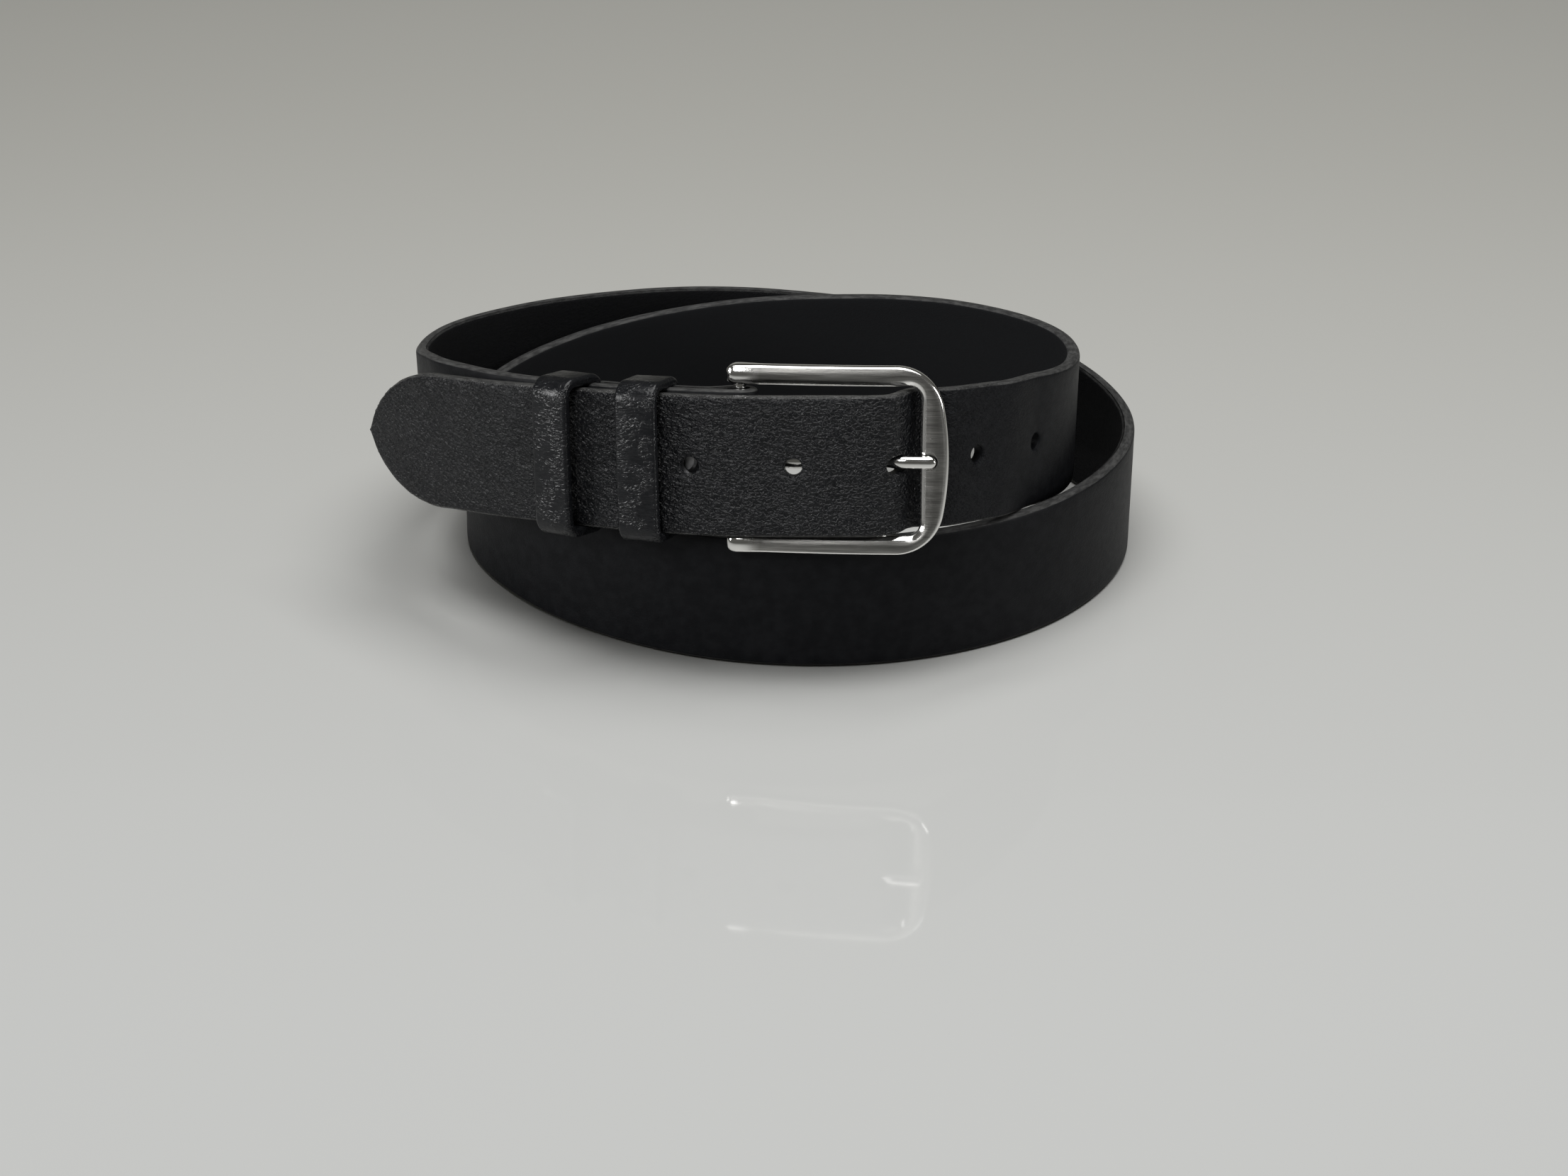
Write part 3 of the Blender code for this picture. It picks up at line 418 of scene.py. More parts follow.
def tailN(u):
    return float(np.interp(u, tailLine[:, 0], tailLine[:, 1]))


def frameN(u):
    share = u / buckle["reach"]
    return buckle["arch"] * 4 * share * (1 - share) - buckle["drop"] * share


def prongN(u):
    fit = buckle["fit"]
    leavesEye = buckle["heelBar"] / 2 + fit + prong["thickness"] / 2
    under = tailN(u) - strap["thickness"] / 2 - 2 * fit - prong["thickness"] / 2
    over = frameN(barMiddle) + buckle["thickness"] / 2 - buckle["notch"] + fit + prong["thickness"] / 2
    under = min(max(under, over - prong["dip"]), leavesEye)
    passing = ease((u - holeU + 1.2 * strap["holeDiameter"] / 2) / (1.3 * strap["holeDiameter"]))
    return under + (over - under) * passing


def holeTurn():
    for turn in np.arange(barTurn - 11, overHeel, 0.25):
        step = strapAxes(turn)[0] - heel
        u = step.dot(buckleU)
        if u < holeU + strap["holeDiameter"] and prongN(u) <= step.dot(buckleN):
            return float(turn)
    return barTurn


def lengthInBuckle(u):
    # how far along the strap its tail passes a place in the buckle
    steps = np.arange(barTurn - 11, overHeel + 8, 0.25)
    places = [(heel - strapAxes(step)[0]).dot(buckleU) for step in steps]
    return lengthAt(float(np.interp(-u, places, steps)))


def inBuckle(u, w, n):
    return heel + standAt + buckleU * u + buckleW * w + buckleN * n


def cutFrom(item, tool, solver="EXACT"):
    applyModifier(item, "BOOLEAN", operation="DIFFERENCE", object=tool, solver=solver)
    discard(tool)


def makeStrap():
    leather = makeFlatStrap()
    inUse = lengthAt(holeTurn())
    for number in range(-2, 3):
        drawnOut = strap["wornHole"] if number == 0 else 0.0
        cutFrom(leather, makePunch(inUse + number * strap["holePitch"], strap["holeDiameter"], drawnOut))
    cutFrom(leather, makeFoldSlot())
    flat = pointsOf(leather)
    inside = [edgeDistance(length, across) for length, across, depth in flat]
    noteOnPoints(leather, "flatPlace", flat / mm)
    noteOnPoints(leather, "edgeIn", np.array(inside) / mm)
    flat[:, 2] += creaseDepth(flat)
    setPoints(leather, wound(flat))
    applyModifier(leather, "TRIANGULATE", min_vertices=5)
    return leather


def creaseDepth(flat):
    # slow undulations of the leather, strongest on the tail
    depths = []
    for length, across, depth in flat:
        onTail = ease((length - lengthAt(barTurn)) / (20 * mm))
        swell = noise.noise(Vector((length / (16 * mm), across / (9 * mm), 3.0)))
        ripple = noise.noise(Vector(((length + 0.45 * across) / (3.2 * mm), across / (14 * mm), 8.0)))
        deep = (strap["swell"] + strap["tailSwell"] * onTail) * mm * swell
        depths.append(deep + strap["ripple"] * mm * onTail * ripple)
    return np.array(depths)


def makeFoldSlot():
    # the slot in the fold that the prong's eye comes through
    width = prong["width"] + 4 * buckle["fit"]
    low, high = -foldArc - strap["slotBack"], strap["slotBack"]
    deselectAll()
    bpy.ops.mesh.primitive_cylinder_add(vertices=32, radius=width / 2, depth=4 * strap["thickness"])
    slot = bpy.context.object
    points = pointsOf(slot)
    points[:, 0] += np.where(points[:, 0] > 0, high, low)
    setPoints(slot, points)
    return slot


def keepRows(item, name, first, last):
    # a copy of the strap that keeps only the faces between two lengths
    piece = item.copy()
    piece.data = item.data.copy()
    piece.name = piece.data.name = name
    bpy.context.scene.collection.objects.link(piece)
    places = np.empty(len(piece.data.vertices) * 3, np.float32)
    piece.data.attributes["flatPlace"].data.foreach_get("vector", places)
    lengthOf = places.reshape(-1, 3)[:, 0] * mm
    pick(piece)
    bpy.context.tool_settings.mesh_select_mode = (False, False, True)
    for face in piece.data.polygons:
        middle = lengthOf[list(face.vertices)].mean()
        face.select = not first < middle <= last
    bpy.ops.object.mode_set(mode="EDIT")
    bpy.ops.mesh.delete(type="FACE")
    bpy.ops.object.mode_set(mode="OBJECT")
    return piece


leather = makeStrap()
print("strap cut and wound:", len(leather.data.polygons), "faces")
coilEnds = lengthAt(620)
riserEnds = lengthAt(barTurn - 4)
strapCoil = keepRows(leather, "strap_coil", -1.0, coilEnds)
strapRiser = keepRows(leather, "strap_riser", coilEnds, riserEnds)
throatEnds = lengthAt(holeTurn()) + (strap["holeDiameter"] + strap["wornHole"]) / 2 + 0.7 * mm
windowEnds = lengthInBuckle(1.0 * mm)
strapThroat = keepRows(leather, "strap_throat", riserEnds, throatEnds)
strapWindow = keepRows(leather, "strap_window", throatEnds, windowEnds)
strapTail = keepRows(leather, "strap_tail", windowEnds, 9.0)
discard(leather)


# leather loops round the strap; firstScrew, lastScrew and freeGap are where the CAD model places them
keeper = {
    "wall": 2.4 * mm, "length": 10.8 * mm, "corner": 4.8 * mm, "edge": 0.85 * mm, "crown": 0.35 * mm,
    "proud": 1.8 * mm, "bulge": 0.4 * mm, "nearer": 0.8 * mm,
    "firstScrew": 13.4 * mm, "lastScrew": 5.0 * mm, "freeGap": 6.5 * mm, "around": 144, "section": 28,
}


def makeKeeper(node, name):
    # the CAD loop's own middle and axes give the loop's place, its outline runs round the CAD box
    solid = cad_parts[node]
    points = np.array([vertex.co for vertex in solid.data.vertices], float)
    centre = points.mean(axis=0)
    lengthways, outward, up = keeperAxes(node)
    local = (points - centre) @ np.array((lengthways, outward, up)).T
    low, high = local.min(axis=0), local.max(axis=0)
    centre = centre + np.array((lengthways, outward, up)).T @ ((low + high) / 2)
    halfDepth, halfHeight = (high - low)[1] / 2 + keeper["proud"] / 2, (high - low)[2] / 2
    centre = centre + np.array(outward) * keeper["proud"] / 2 - np.array(lengthways) * keeper["nearer"]
    around, section, corner = keeper["around"], keeper["section"], keeper["corner"]

    def outlineAt(step):
        # a rounded rectangle walked at an even pace: place and outward direction
        straightY, straightZ = 2 * (halfDepth - corner), 2 * (halfHeight - corner)
        arc = math.pi / 2 * corner
        walk = step / around * (2 * straightY + 2 * straightZ + 4 * arc)
        y, z, facing = -straightY / 2, halfHeight, 90.0
        for straight in (straightY, straightZ, straightY, straightZ):
            ahead = Vector((math.sin(deg(facing)), -math.cos(deg(facing))))
            out = Vector((math.cos(deg(facing)), math.sin(deg(facing))))
            if walk <= straight:
                return Vector((y, z)) + ahead * walk, out
            y, z = Vector((y, z)) + ahead * straight
            walk -= straight
            if walk <= arc:
                faces = deg(facing - math.degrees(walk / corner))
                outNow = Vector((math.cos(faces), math.sin(faces)))
                return Vector((y, z)) - out * corner + outNow * corner, outNow
            middle = Vector((y, z)) - out * corner
            walk -= arc
            facing -= 90.0
            y, z = middle + Vector((math.cos(deg(facing)), math.sin(deg(facing)))) * corner
        return Vector((-straightY / 2, halfHeight)), Vector((0, 1))

    def place(i, j):
        spot, out = outlineAt(i % around)
        x, depth = keeperSection(j, section)
        y, z = spot - out * depth
        if y > 0:
            y += keeper["bulge"] * (1 - (z / halfHeight) ** 2) * ease(y / halfDepth)
        return Vector(centre) + lengthways * x + outward * y + up * z

    loop = tube(name, around + 1, section, place, closedLengthways=True)
    flat = []
    for vertex in loop.data.vertices:
        step = Vector(np.array(vertex.co) - centre)
        flat.append((step.dot(lengthways), step.dot(up), step.dot(outward)))
    noteOnPoints(loop, "flatPlace", np.array(flat) / mm)
    return loop


def keeperSection(j, section):
    # the strip's own section: along the belt, and depth below the outer face
    half, wall, edge = keeper["length"] / 2, keeper["wall"], keeper["edge"]
    corners = ((1, 0), (1, 1), (-1, 1), (-1, 0))
    perCorner = section // 4
    which, step = divmod(j, perCorner)
    endways, deep = corners[which]
    sweep = math.pi / 2 * step / (perCorner - 1)
    angle = {0: math.pi / 2 - sweep, 1: -sweep, 2: -math.pi / 2 - sweep, 3: math.pi - sweep}[which]
    x = endways * (half - edge) + edge * math.cos(angle)
    depth = (edge if not deep else wall - edge) - edge * math.sin(angle)
    return x, depth - (0 if deep else keeper["crown"] * (1 - (x / half) ** 2)) + keeper["crown"]


def keeperAxes(node):
    places = {"keeper_fixed": (keeper["firstScrew"] + strap["flapLength"] - keeper["lastScrew"]) / 2,
              "keeper_free": strap["flapLength"] + keeper["freeGap"]}
    middle, along, normal, across = strapAxes(turnAt(places[node]))
    return along, normal, across


keeperFixed = makeKeeper("keeper_fixed", "keeper_fixed_loop")
keeperFree = makeKeeper("keeper_free", "keeper_free_loop")
print("keepers made")


def frameRows():
    # inner and outer edge of the U, from the lower lug round the front bar to the upper lug
    window = strap["width"] / 2 + buckle["windowPlay"]
    outer = window + buckle["armWidth"]
    inside, outside = buckle["windowCorner"], buckle["corner"]
    barInner = buckle["reach"] - buckle["bar"]
    straight = barInner - inside
    bow = (window ** 2 + buckle["sideBow"] ** 2) / (2 * buckle["sideBow"])
    edgeW = outer - outside
    armEnds = buckle["reach"] - bow + math.sqrt((bow - outside) ** 2 - edgeW ** 2)
    turned = math.atan2(edgeW, armEnds - buckle["reach"] + bow)
    pairs = [((straight * share, window), (armEnds * share, outer)) for share in np.linspace(0.0, 1.0, 24)]
    for share in np.linspace(0.0, 1.0, 25)[1:]:
        angle = math.pi / 2 * share
        corner = math.pi / 2 - (math.pi / 2 - turned) * share
        pairs.append(((straight + inside * math.sin(angle), window - inside * (1 - math.cos(angle))),
                      (armEnds + outside * math.cos(corner), edgeW + outside * math.sin(corner))))
    for share in np.linspace(1.0, 0.0, 19)[1:-1]:
        across = turned * share
        pairs.append(((barInner, (window - inside) * share),
                      (buckle["reach"] - bow + bow * math.cos(across), bow * math.sin(across))))
    lower = [((a[0], -a[1]), (b[0], -b[1])) for a, b in pairs]
    return lower + [((barInner, 0.0), (buckle["reach"], 0.0))] + pairs[::-1]


def barSection(halfWidth, halfWall, innerBevel):
    # round the bar's section: (place across, from the inner side to the outer, and height)
    outerBevel, under, edge = buckle["outerBevel"], 0.6 * mm, 0.35 * mm
    flatFrom, flatTo = halfWidth - outerBevel * 0.85, -halfWidth + innerBevel + edge * 0.3
    crown = buckle["crown"] * (flatFrom - flatTo)
    shoulder = halfWall - crown
    points = []

    def arc(across, high, radiusAcross, radiusUp, first, last, steps):
        for angle in np.linspace(deg(first), deg(last), steps):
            points.append((across + radiusAcross * math.cos(angle), high + radiusUp * math.sin(angle)))

    arc(halfWidth - outerBevel, shoulder - 0.95 * outerBevel, outerBevel, 0.97 * outerBevel, 0, 72, 8)
    for share in np.linspace(0, 1, 11)[1:]:
        points.append((flatFrom + (flatTo - flatFrom) * share, shoulder + crown * 4 * share * (1 - share)))
    fall = innerBevel * buckle["bevelDrop"]
    for share in (0.2, 0.5, 0.8, 1.0):
        down = fall * (0.8 * share + 0.2 * share ** 2)
        points.append((flatTo - (innerBevel - edge * 0.4) * share, shoulder - down))
    arc(-halfWidth + edge, shoulder - fall - 1.2 * edge, edge, edge, 125, 180, 4)
    arc(-halfWidth + under, -halfWall + under, under, under, 180, 270, 5)
    arc(halfWidth - under, -halfWall + under, under, under, 270, 360, 5)
    return points


def makeFrame():
    rows = frameRows()
    cap = 10  # rings of each arm's blunt end
    blunt = 2.8  # 2 is a round end, more is blunter
    ring = len(barSection(buckle["armWidth"] / 2, buckle["thickness"] / 2, buckle["innerBevel"]))
    bendAt = buckle["reach"] - buckle["bar"] - buckle["windowCorner"]

    def place(i, j):
        row = min(max(i - cap, 0), len(rows) - 1)
        beyond = max(cap - i, i - cap - len(rows) + 1, 0) / cap
        inner, outer = [Vector(point) for point in rows[row]]
        back = -buckle["lugEnd"] * math.sin(math.pi / 2 * beyond)
        shrink = max(1 - (-back / buckle["lugEnd"]) ** blunt, 0.0) ** (1 / blunt)
        lug = 1 - ease(inner.x / buckle["lugLength"])
        wall = buckle["thickness"] + (buckle["lugThickness"] - buckle["thickness"]) * lug
        # the bevel widens at the corners
        atCorner = math.exp(-((inner.x - bendAt - 2.0 * mm) / (3.2 * mm)) ** 2)
        bevel = buckle["innerBevel"] * (1.0 - 0.35 * lug + 0.30 * atCorner)
        across, high = barSection((outer - inner).length / 2, wall / 2, bevel)[j]
        spot = (inner + outer) / 2 + (outer - inner).normalized() * across * shrink
        n = frameN(max(spot.x, 0.0)) + high * shrink
        return inBuckle(spot.x + back, spot.y, n)

    piece = tube("buckle_frame_shell", len(rows) + 2 * cap, ring, place)
    cutFrom(piece, makePocket())
    pick(piece)
    bpy.ops.object.shade_smooth_by_angle(angle=deg(38))
    return piece


def makePocket():
    # what the front bar gives up for the prong: a round-ended trough with a soft floor
    deselectAll()
    half = prong["tipWidth"] / 2 + prong["play"]
    deep = buckle["notch"] - 0.05 * mm
    bpy.ops.mesh.primitive_uv_sphere_add(segments=32, ring_count=24, radius=half)
    pocket = bpy.context.object
    points = pointsOf(pocket)
    tipMiddle = buckle["reach"] - prong["overhang"] + prong["play"] - half
    points[:, 0] += np.where(points[:, 0] > 0, tipMiddle, buckle["reach"] - buckle["bar"] - 4 * mm)
    power = np.abs(points[:, 2] / half) ** 0.55 * np.sign(points[:, 2])
    points[:, 2] = np.where(points[:, 2] < 0, power * 1.3 * mm, points[:, 2] * 2.0)
    top = frameN(barMiddle) + buckle["thickness"] / 2
    points[:, 2] += top - deep + 1.3 * mm
    setPoints(pocket, [inBuckle(*point) for point in points])
    return pocket


buckleFrame = makeFrame()
print("buckle frame made")


def prongLine():
    eye = buckle["heelBar"] / 2 + buckle["fit"] + prong["thickness"] / 2
    aroundEye = [deg(angle) for angle in np.linspace(-150, 90, 30)]
    line = [(-eye * math.cos(angle), eye * math.sin(angle)) for angle in aroundEye]
    last = buckle["reach"] - prong["overhang"]
    places = [float(u) for u in np.linspace(3.0 * mm, last - 2.4 * mm, 60)]
    places += [last - fromTip * mm for fromTip in (1.9, 1.4, 1.0, 0.65, 0.35, 0.15, 0.03)]
    return np.array(line + [(u, prongN(u)) for u in places])


def makeProng():
    line = prongLine()
    last = buckle["reach"] - prong["overhang"]
    tangents = np.gradient(line, axis=0)
    tangents /= np.linalg.norm(tangents, axis=1)[:, None]

    def place(i, j):
        u, n = line[i]
        toTip = last - u
        width = prong["width"] + (prong["tipWidth"] - prong["width"]) * ease(u / last)
        nearTip = toTip < prong["blunt"] and i > 40
        shrink = math.sqrt(max(1 - (1 - toTip / prong["blunt"]) ** 2, 0.0004)) if nearTip else 1.0
        angle = 2 * math.pi * j / prong["ring"]
        a, b = math.cos(angle), math.sin(angle)
        b = b if b > 0 else -0.92 * abs(b) ** 0.35
        a = math.copysign(abs(a) ** (0.9 if b > 0 else 0.5), a)
        outward = np.array((-tangents[i][1], tangents[i][0]))
        side = outward * b * prong["thickness"] / 2 * (0.35 + 0.65 * shrink)
        return inBuckle(u + side[0], a * width / 2 * shrink, n + side[1])

    return tube("prong_tongue", len(line), prong["ring"], place)


prongPiece = makeProng()
print("prong made")


class Signal:
    # a socket that takes part in a sum as a number would
    def __init__(self, tree, socket):
        self.tree, self.socket = tree, socket

    def join(self, operation, first, second):
        step = self.tree.nodes.new("ShaderNodeMath")
        step.operation = operation
        for plug, value in zip(step.inputs, (first, second)):
            if isinstance(value, Signal):
                self.tree.links.new(value.socket, plug)
            else:
                plug.default_value = value
        return Signal(self.tree, step.outputs[0])

    def __add__(self, other): return self.join("ADD", self, other)
    def __radd__(self, other): return self.join("ADD", other, self)
    def __sub__(self, other): return self.join("SUBTRACT", self, other)
    def __rsub__(self, other): return self.join("SUBTRACT", other, self)
    def __mul__(self, other): return self.join("MULTIPLY", self, other)
    def __rmul__(self, other): return self.join("MULTIPLY", other, self)
    def __pow__(self, other): return self.join("POWER", self, other)
    def least(self, other): return self.join("MINIMUM", self, other)


class Finish:
    def __init__(self, name, **fixed):
        self.material = bpy.data.materials.new(name)
        self.material.use_nodes = True
        self.tree = self.material.node_tree
        self.shader = self.tree.nodes["Principled BSDF"]
        for socket, value in fixed.items():
            plug = self.shader.inputs[socket.replace("_", " ")]
            plug.default_value = (*value, 1.0) if isinstance(value, tuple) else value

    def node(self, kind, settings=None, output=0, **values):
        # settings go on the node first, then the values or links of its sockets
        made = self.tree.nodes.new("ShaderNode" + kind)
        for name, value in (settings or {}).items():
            setattr(made, name, value)
        for name, value in values.items():
            plug = made.inputs[int(name[1:])] if name[0] == "_" else made.inputs[name.replace("_", " ")]
            self.feed(plug, value)
        return Signal(self.tree, made.outputs[output])

    def feed(self, plug, value):
        if isinstance(value, Signal):
            self.tree.links.new(value.socket, plug)
        else:
            plug.default_value = value

    def set(self, socket, value):
        self.feed(self.shader.inputs[socket], value)

    def attribute(self, name, output="Fac"):
        return self.node("Attribute", {"attribute_name": name}, output)

    def ramp(self, value, start, end):
        smooth = {"interpolation_type": "SMOOTHSTEP"}
        return self.node("MapRange", smooth, 0, Value=value, From_Min=start, From_Max=end)

    def mixColours(self, share, first, second):
        made = self.tree.nodes.new("ShaderNodeMix")
        made.data_type = "RGBA"
        self.feed(made.inputs[0], share)
        for plug, colour in ((made.inputs[6], first), (made.inputs[7], second)):
            self.feed(plug, colour if isinstance(colour, Signal) else (*colour, 1.0))
        return Signal(self.tree, made.outputs[2])

    def stretched(self, place, scale, turn=0.0):
        size = tuple(1.0 / value for value in scale)
        settings = {"vector_type": "TEXTURE"}
        return self.node("Mapping", settings, 0, Vector=place, Scale=size, Rotation=(0.0, 0.0, turn))

    def cloud(self, place, scale, detail=2.0, roughness=0.5):
        return self.node("TexNoise", None, 0, Vector=place, Scale=scale, Detail=detail, Roughness=roughness)

    def cells(self, place, scale):
        return self.node("TexVoronoi", {"feature": "DISTANCE_TO_EDGE"}, 0, Vector=place, Scale=scale)

    def relief(self, height, depth):
        # height in shares, depth in millimetres
        self.set("Normal", self.node("Bump", None, 0, Height=height, Distance=depth * mm, Strength=1.0))


def separate(finish, place):
    made = finish.tree.nodes.new("ShaderNodeSeparateXYZ")
    finish.feed(made.inputs[0], place)
    return [Signal(finish.tree, made.outputs[i]) for i in range(3)]


# the two edge colours are dark edge paint, lightened to carry a painted highlight along the strap's edges
grain = {
    "black": (0.0036, 0.0038, 0.0046), "worn": (0.0065, 0.0068, 0.0078), "scored": (0.030, 0.030, 0.031),
    "flesh": (0.0052, 0.0055, 0.0062), "edge": (0.055, 0.055, 0.054), "edgePaintAndSheenDark": (0.022, 0.022, 0.022),
    "cell": 1.0, "coarseCell": 0.42, "pebbleDepth": 0.50, "scoredAt": 58, "crossedAt": 18,
    "coilShine": 0.09, "coilRoughness": 0.42, "tailShine": 0.20, "tailRoughness": 0.16,
}


def crackle(finish, place, scale):
    # the fine broken network of creases in smooth leather
    bent = finish.node("VectorMath", {"operation": "MULTIPLY_ADD"}, 0, _0=finish.node(
        "TexNoise", None, 1, Vector=place, Scale=0.9 * scale, Detail=2.0), _1=(0.9, 0.9, 0.9), _2=place)
    edges = finish.cells(bent, scale)
    return finish.ramp(edges, 0.0, 0.30)


def strapLeather(name, shine, roughness):
    finish = Finish(name, Specular_IOR_Level=shine)
    place = finish.attribute("flatPlace", "Vector")
    along, across, depth = separate(finish, place)
    edgeIn = finish.attribute("edgeIn")
    outer = finish.ramp(depth, 0.9, 1.2)
    inner = finish.ramp(0.0 - depth, 0.9, 1.2)
    rim = finish.ramp(0.55 - edgeIn, -0.1, 0.1)
    onTail = finish.ramp(along, lengthAt(barTurn - 30) / mm, lengthAt(barTurn) / mm)
    tailEnd = finish.ramp(along, (strapLength - 74 * mm) / mm, (strapLength - 52 * mm) / mm)
    firstTurn = finish.ramp(0.0 - along, -lengthAt(300) / mm, -lengthAt(270) / mm)
    fibrous = inner * firstTurn

    patches = finish.cloud(place, 0.12, 3.0)
    fine = crackle(finish, finish.stretched(place, (0.8, 1.15, 1.0)), grain["cell"])
    coarse = crackle(finish, finish.stretched(place, (0.5, 1.0, 1.0), 0.25), grain["coarseCell"])
    pores = finish.cloud(place, 5.5, 2.0)
    scoredPlace = finish.stretched(place, (0.16, 2.3, 1.0), deg(grain["scoredAt"]))
    crossedPlace = finish.stretched(place, (0.30, 2.6, 1.0), deg(grain["crossedAt"]))
    scored = finish.cloud(scoredPlace, 1.0, 2.0, 0.6)
    crossed = finish.cloud(crossedPlace, 1.0, 2.0, 0.6)
    creases = finish.ramp(scored, 0.60, 0.72) + 0.5 * finish.ramp(crossed, 0.62, 0.74)
    creaseMask = tailEnd * finish.ramp(finish.cloud(place, 0.16, 2.0), 0.38, 0.60)
    fibres = finish.cloud(finish.stretched(place, (0.7, 1.9, 1.0), 0.5), 1.3, 5.0, 0.7)

    patchy = 0.6 + 0.4 * finish.ramp(patches, 0.35, 0.65)
    strength = (0.06 + 0.94 * onTail * (1.0 - 0.5 * tailEnd)) * patchy * outer
    height = fine * strength * 0.6 + coarse * strength * 0.45 + pores * 0.10
    height = height + creases * creaseMask * outer * 0.55
    height = height + fibres * fibrous * 4.0 + fibres * inner * 0.25
    finish.relief(height, grain["pebbleDepth"])

    tone = finish.ramp(finish.cloud(place, 0.35, 4.0), 0.3, 0.75)
    colour = finish.mixColours(tone, grain["black"], grain["worn"])
    colour = finish.mixColours(creases * creaseMask * outer * 0.8, colour, grain["scored"])
    colour = finish.mixColours(inner, colour, grain["flesh"])
    # the edges: edge paint lightened into a painted highlight, brighter and darker in streaks along the
    # edge
    edgeSheenStreaks = finish.cloud(finish.stretched(place, (0.25, 1.0, 0.8)), 1.2, 4.0, 0.65)
    edge = finish.mixColours(finish.ramp(edgeSheenStreaks, 0.35, 0.68), grain["edgePaintAndSheenDark"], grain["edge"])
    finish.set("Base Color", finish.mixColours(rim, colour, edge))
    rough = roughness + 0.12 * finish.cloud(place, 0.5, 3.0) + 0.10 * tailEnd * outer
    finish.set("Roughness", (rough + 0.34 * inner - 0.08 * rim).least(0.95))
    return finish.material


loopGrain = {
    "black": (0.0040, 0.0043, 0.0052), "worn": (0.0075, 0.0078, 0.0088),
    "cell": 0.9, "depth": 0.16, "shine": 0.27, "roughness": 0.17,
}


def keeperLeather():
    finish = Finish("keeper_leather", Specular_IOR_Level=loopGrain["shine"])
    place = finish.attribute("flatPlace", "Vector")
    fine = crackle(finish, finish.stretched(place, (0.7, 1.2, 1.0)), loopGrain["cell"])
    streaks = finish.cloud(finish.stretched(place, (0.5, 2.2, 1.0)), 0.9, 4.0)
    patches = finish.ramp(finish.cloud(place, 0.22, 2.0), 0.4, 0.62)
    height = fine * patches * 0.75 + streaks * 0.5 + finish.cloud(place, 5.0) * 0.06
    finish.relief(height, loopGrain["depth"])
    tone = finish.ramp(streaks, 0.35, 0.7)
    finish.set("Base Color", finish.mixColours(tone, loopGrain["black"], loopGrain["worn"]))
    finish.set("Roughness", loopGrain["roughness"] + 0.14 * finish.cloud(place, 0.8, 3.0))
    return finish.material


metal = {
    "satinDark": (0.105, 0.103, 0.098), "satinLight": (0.300, 0.296, 0.281),
    "polishedEdge": (0.82, 0.81, 0.79), "satinDepth": 0.035, "satinRoughness": 0.20, "edgeRoughness": 0.10,
    "prongDark": (0.70, 0.69, 0.67), "prongLight": (0.80, 0.79, 0.77), "scratchDepth": 0.0035,
    "prongRoughness": 0.06,
    "steelDark": (0.24, 0.24, 0.245), "steelLight": (0.34, 0.34, 0.345), "turnedDepth": 0.006,
    "steelRoughness": 0.26,
}


def brushedNickel():
    finish = Finish("satin_nickel", Metallic=1.0)
    place = finish.attribute("flatPlace", "Vector")
    polish = finish.attribute("polish")
    lines = finish.cloud(finish.stretched(place, (0.12, 5.5, 0.5)), 1.0, 4.0, 0.7)
    broad = finish.cloud(finish.stretched(place, (0.05, 0.9, 0.3)), 1.0, 3.0)
    satin = 1.0 - polish
    finish.relief(lines * satin, metal["satinDepth"])
    streaks = finish.ramp(lines * 0.6 + broad * 0.4, 0.30, 0.72)
    brushed = finish.mixColours(streaks, metal["satinDark"], metal["satinLight"])
    finish.set("Base Color", finish.mixColours(polish, brushed, metal["polishedEdge"]))
    finish.set("Roughness", metal["edgeRoughness"] + satin * (metal["satinRoughness"] + 0.10 * lines))
    return finish.material


def polishedNickel():
    finish = Finish("polished_nickel", Metallic=1.0)
    place = finish.node("TexCoord", None, 3)
    scratch = finish.cloud(finish.stretched(place, (900.0, 5000.0, 5000.0)), 1.0, 3.0)
    smear = finish.cloud(place, 260.0, 3.0)
    finish.relief(scratch, metal["scratchDepth"])
    finish.set("Base Color", finish.mixColours(smear, metal["prongDark"], metal["prongLight"]))
    finish.set("Roughness", metal["prongRoughness"] + 0.08 * smear)
    return finish.material


def darkSteel():
    finish = Finish("dark_steel", Metallic=1.0)
    place = finish.node("TexCoord", None, 3)
    turned = finish.cloud(place, 1800.0, 3.0)
    finish.relief(turned, metal["turnedDepth"])
    finish.set("Base Color", finish.mixColours(turned, metal["steelDark"], metal["steelLight"]))
    finish.set("Roughness", metal["steelRoughness"] + 0.18 * finish.cloud(place, 700.0, 2.0))
    return finish.material


def dress(item, material):
    item.data.materials.clear()
    item.data.materials.append(material)


def noteBuckle(piece, polishedFrom):
    # the buckle's own axes for the brushing, and where it is polished: edges, chamfers and arm ends
    points = pointsOf(piece)
    local = np.array([[(Vector(point) - heel - standAt).dot(axis) for axis in (buckleU, buckleW, buckleN)]
                      for point in points])
    noteOnPoints(piece, "flatPlace", local / mm)
    facing = np.array([abs(vertex.normal.dot(buckleN)) for vertex in piece.data.vertices])
    edges = np.clip((1 - facing ** 2 - 0.13) / 0.08, 0, 1)
    ends = np.clip((polishedFrom - local[:, 0] / mm) / 3.5, 0, 1)
    noteOnPoints(piece, "polish", np.maximum(edges, ends))


noteBuckle(buckleFrame, buckle["polishedEnd"])
coilFinish = strapLeather("strap_leather", grain["coilShine"], grain["coilRoughness"])
loopFinish = keeperLeather()
tailFinish = strapLeather("tail_leather", grain["tailShine"], grain["tailRoughness"])
for piece in (strapCoil, strapRiser):
    dress(piece, coilFinish)
for piece in (strapThroat, strapWindow, strapTail):
    dress(piece, tailFinish)
for piece in (keeperFixed, keeperFree):
    dress(piece, loopFinish)
dress(buckleFrame, brushedNickel())
polished, steel = polishedNickel(), darkSteel()
dress(prongPiece, polished)
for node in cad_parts.values():
    if node.name == "heel_bar":
        dress(node, polished)
    if node.name.startswith("fold_"):
        dress(node, steel)
print("finishes made")


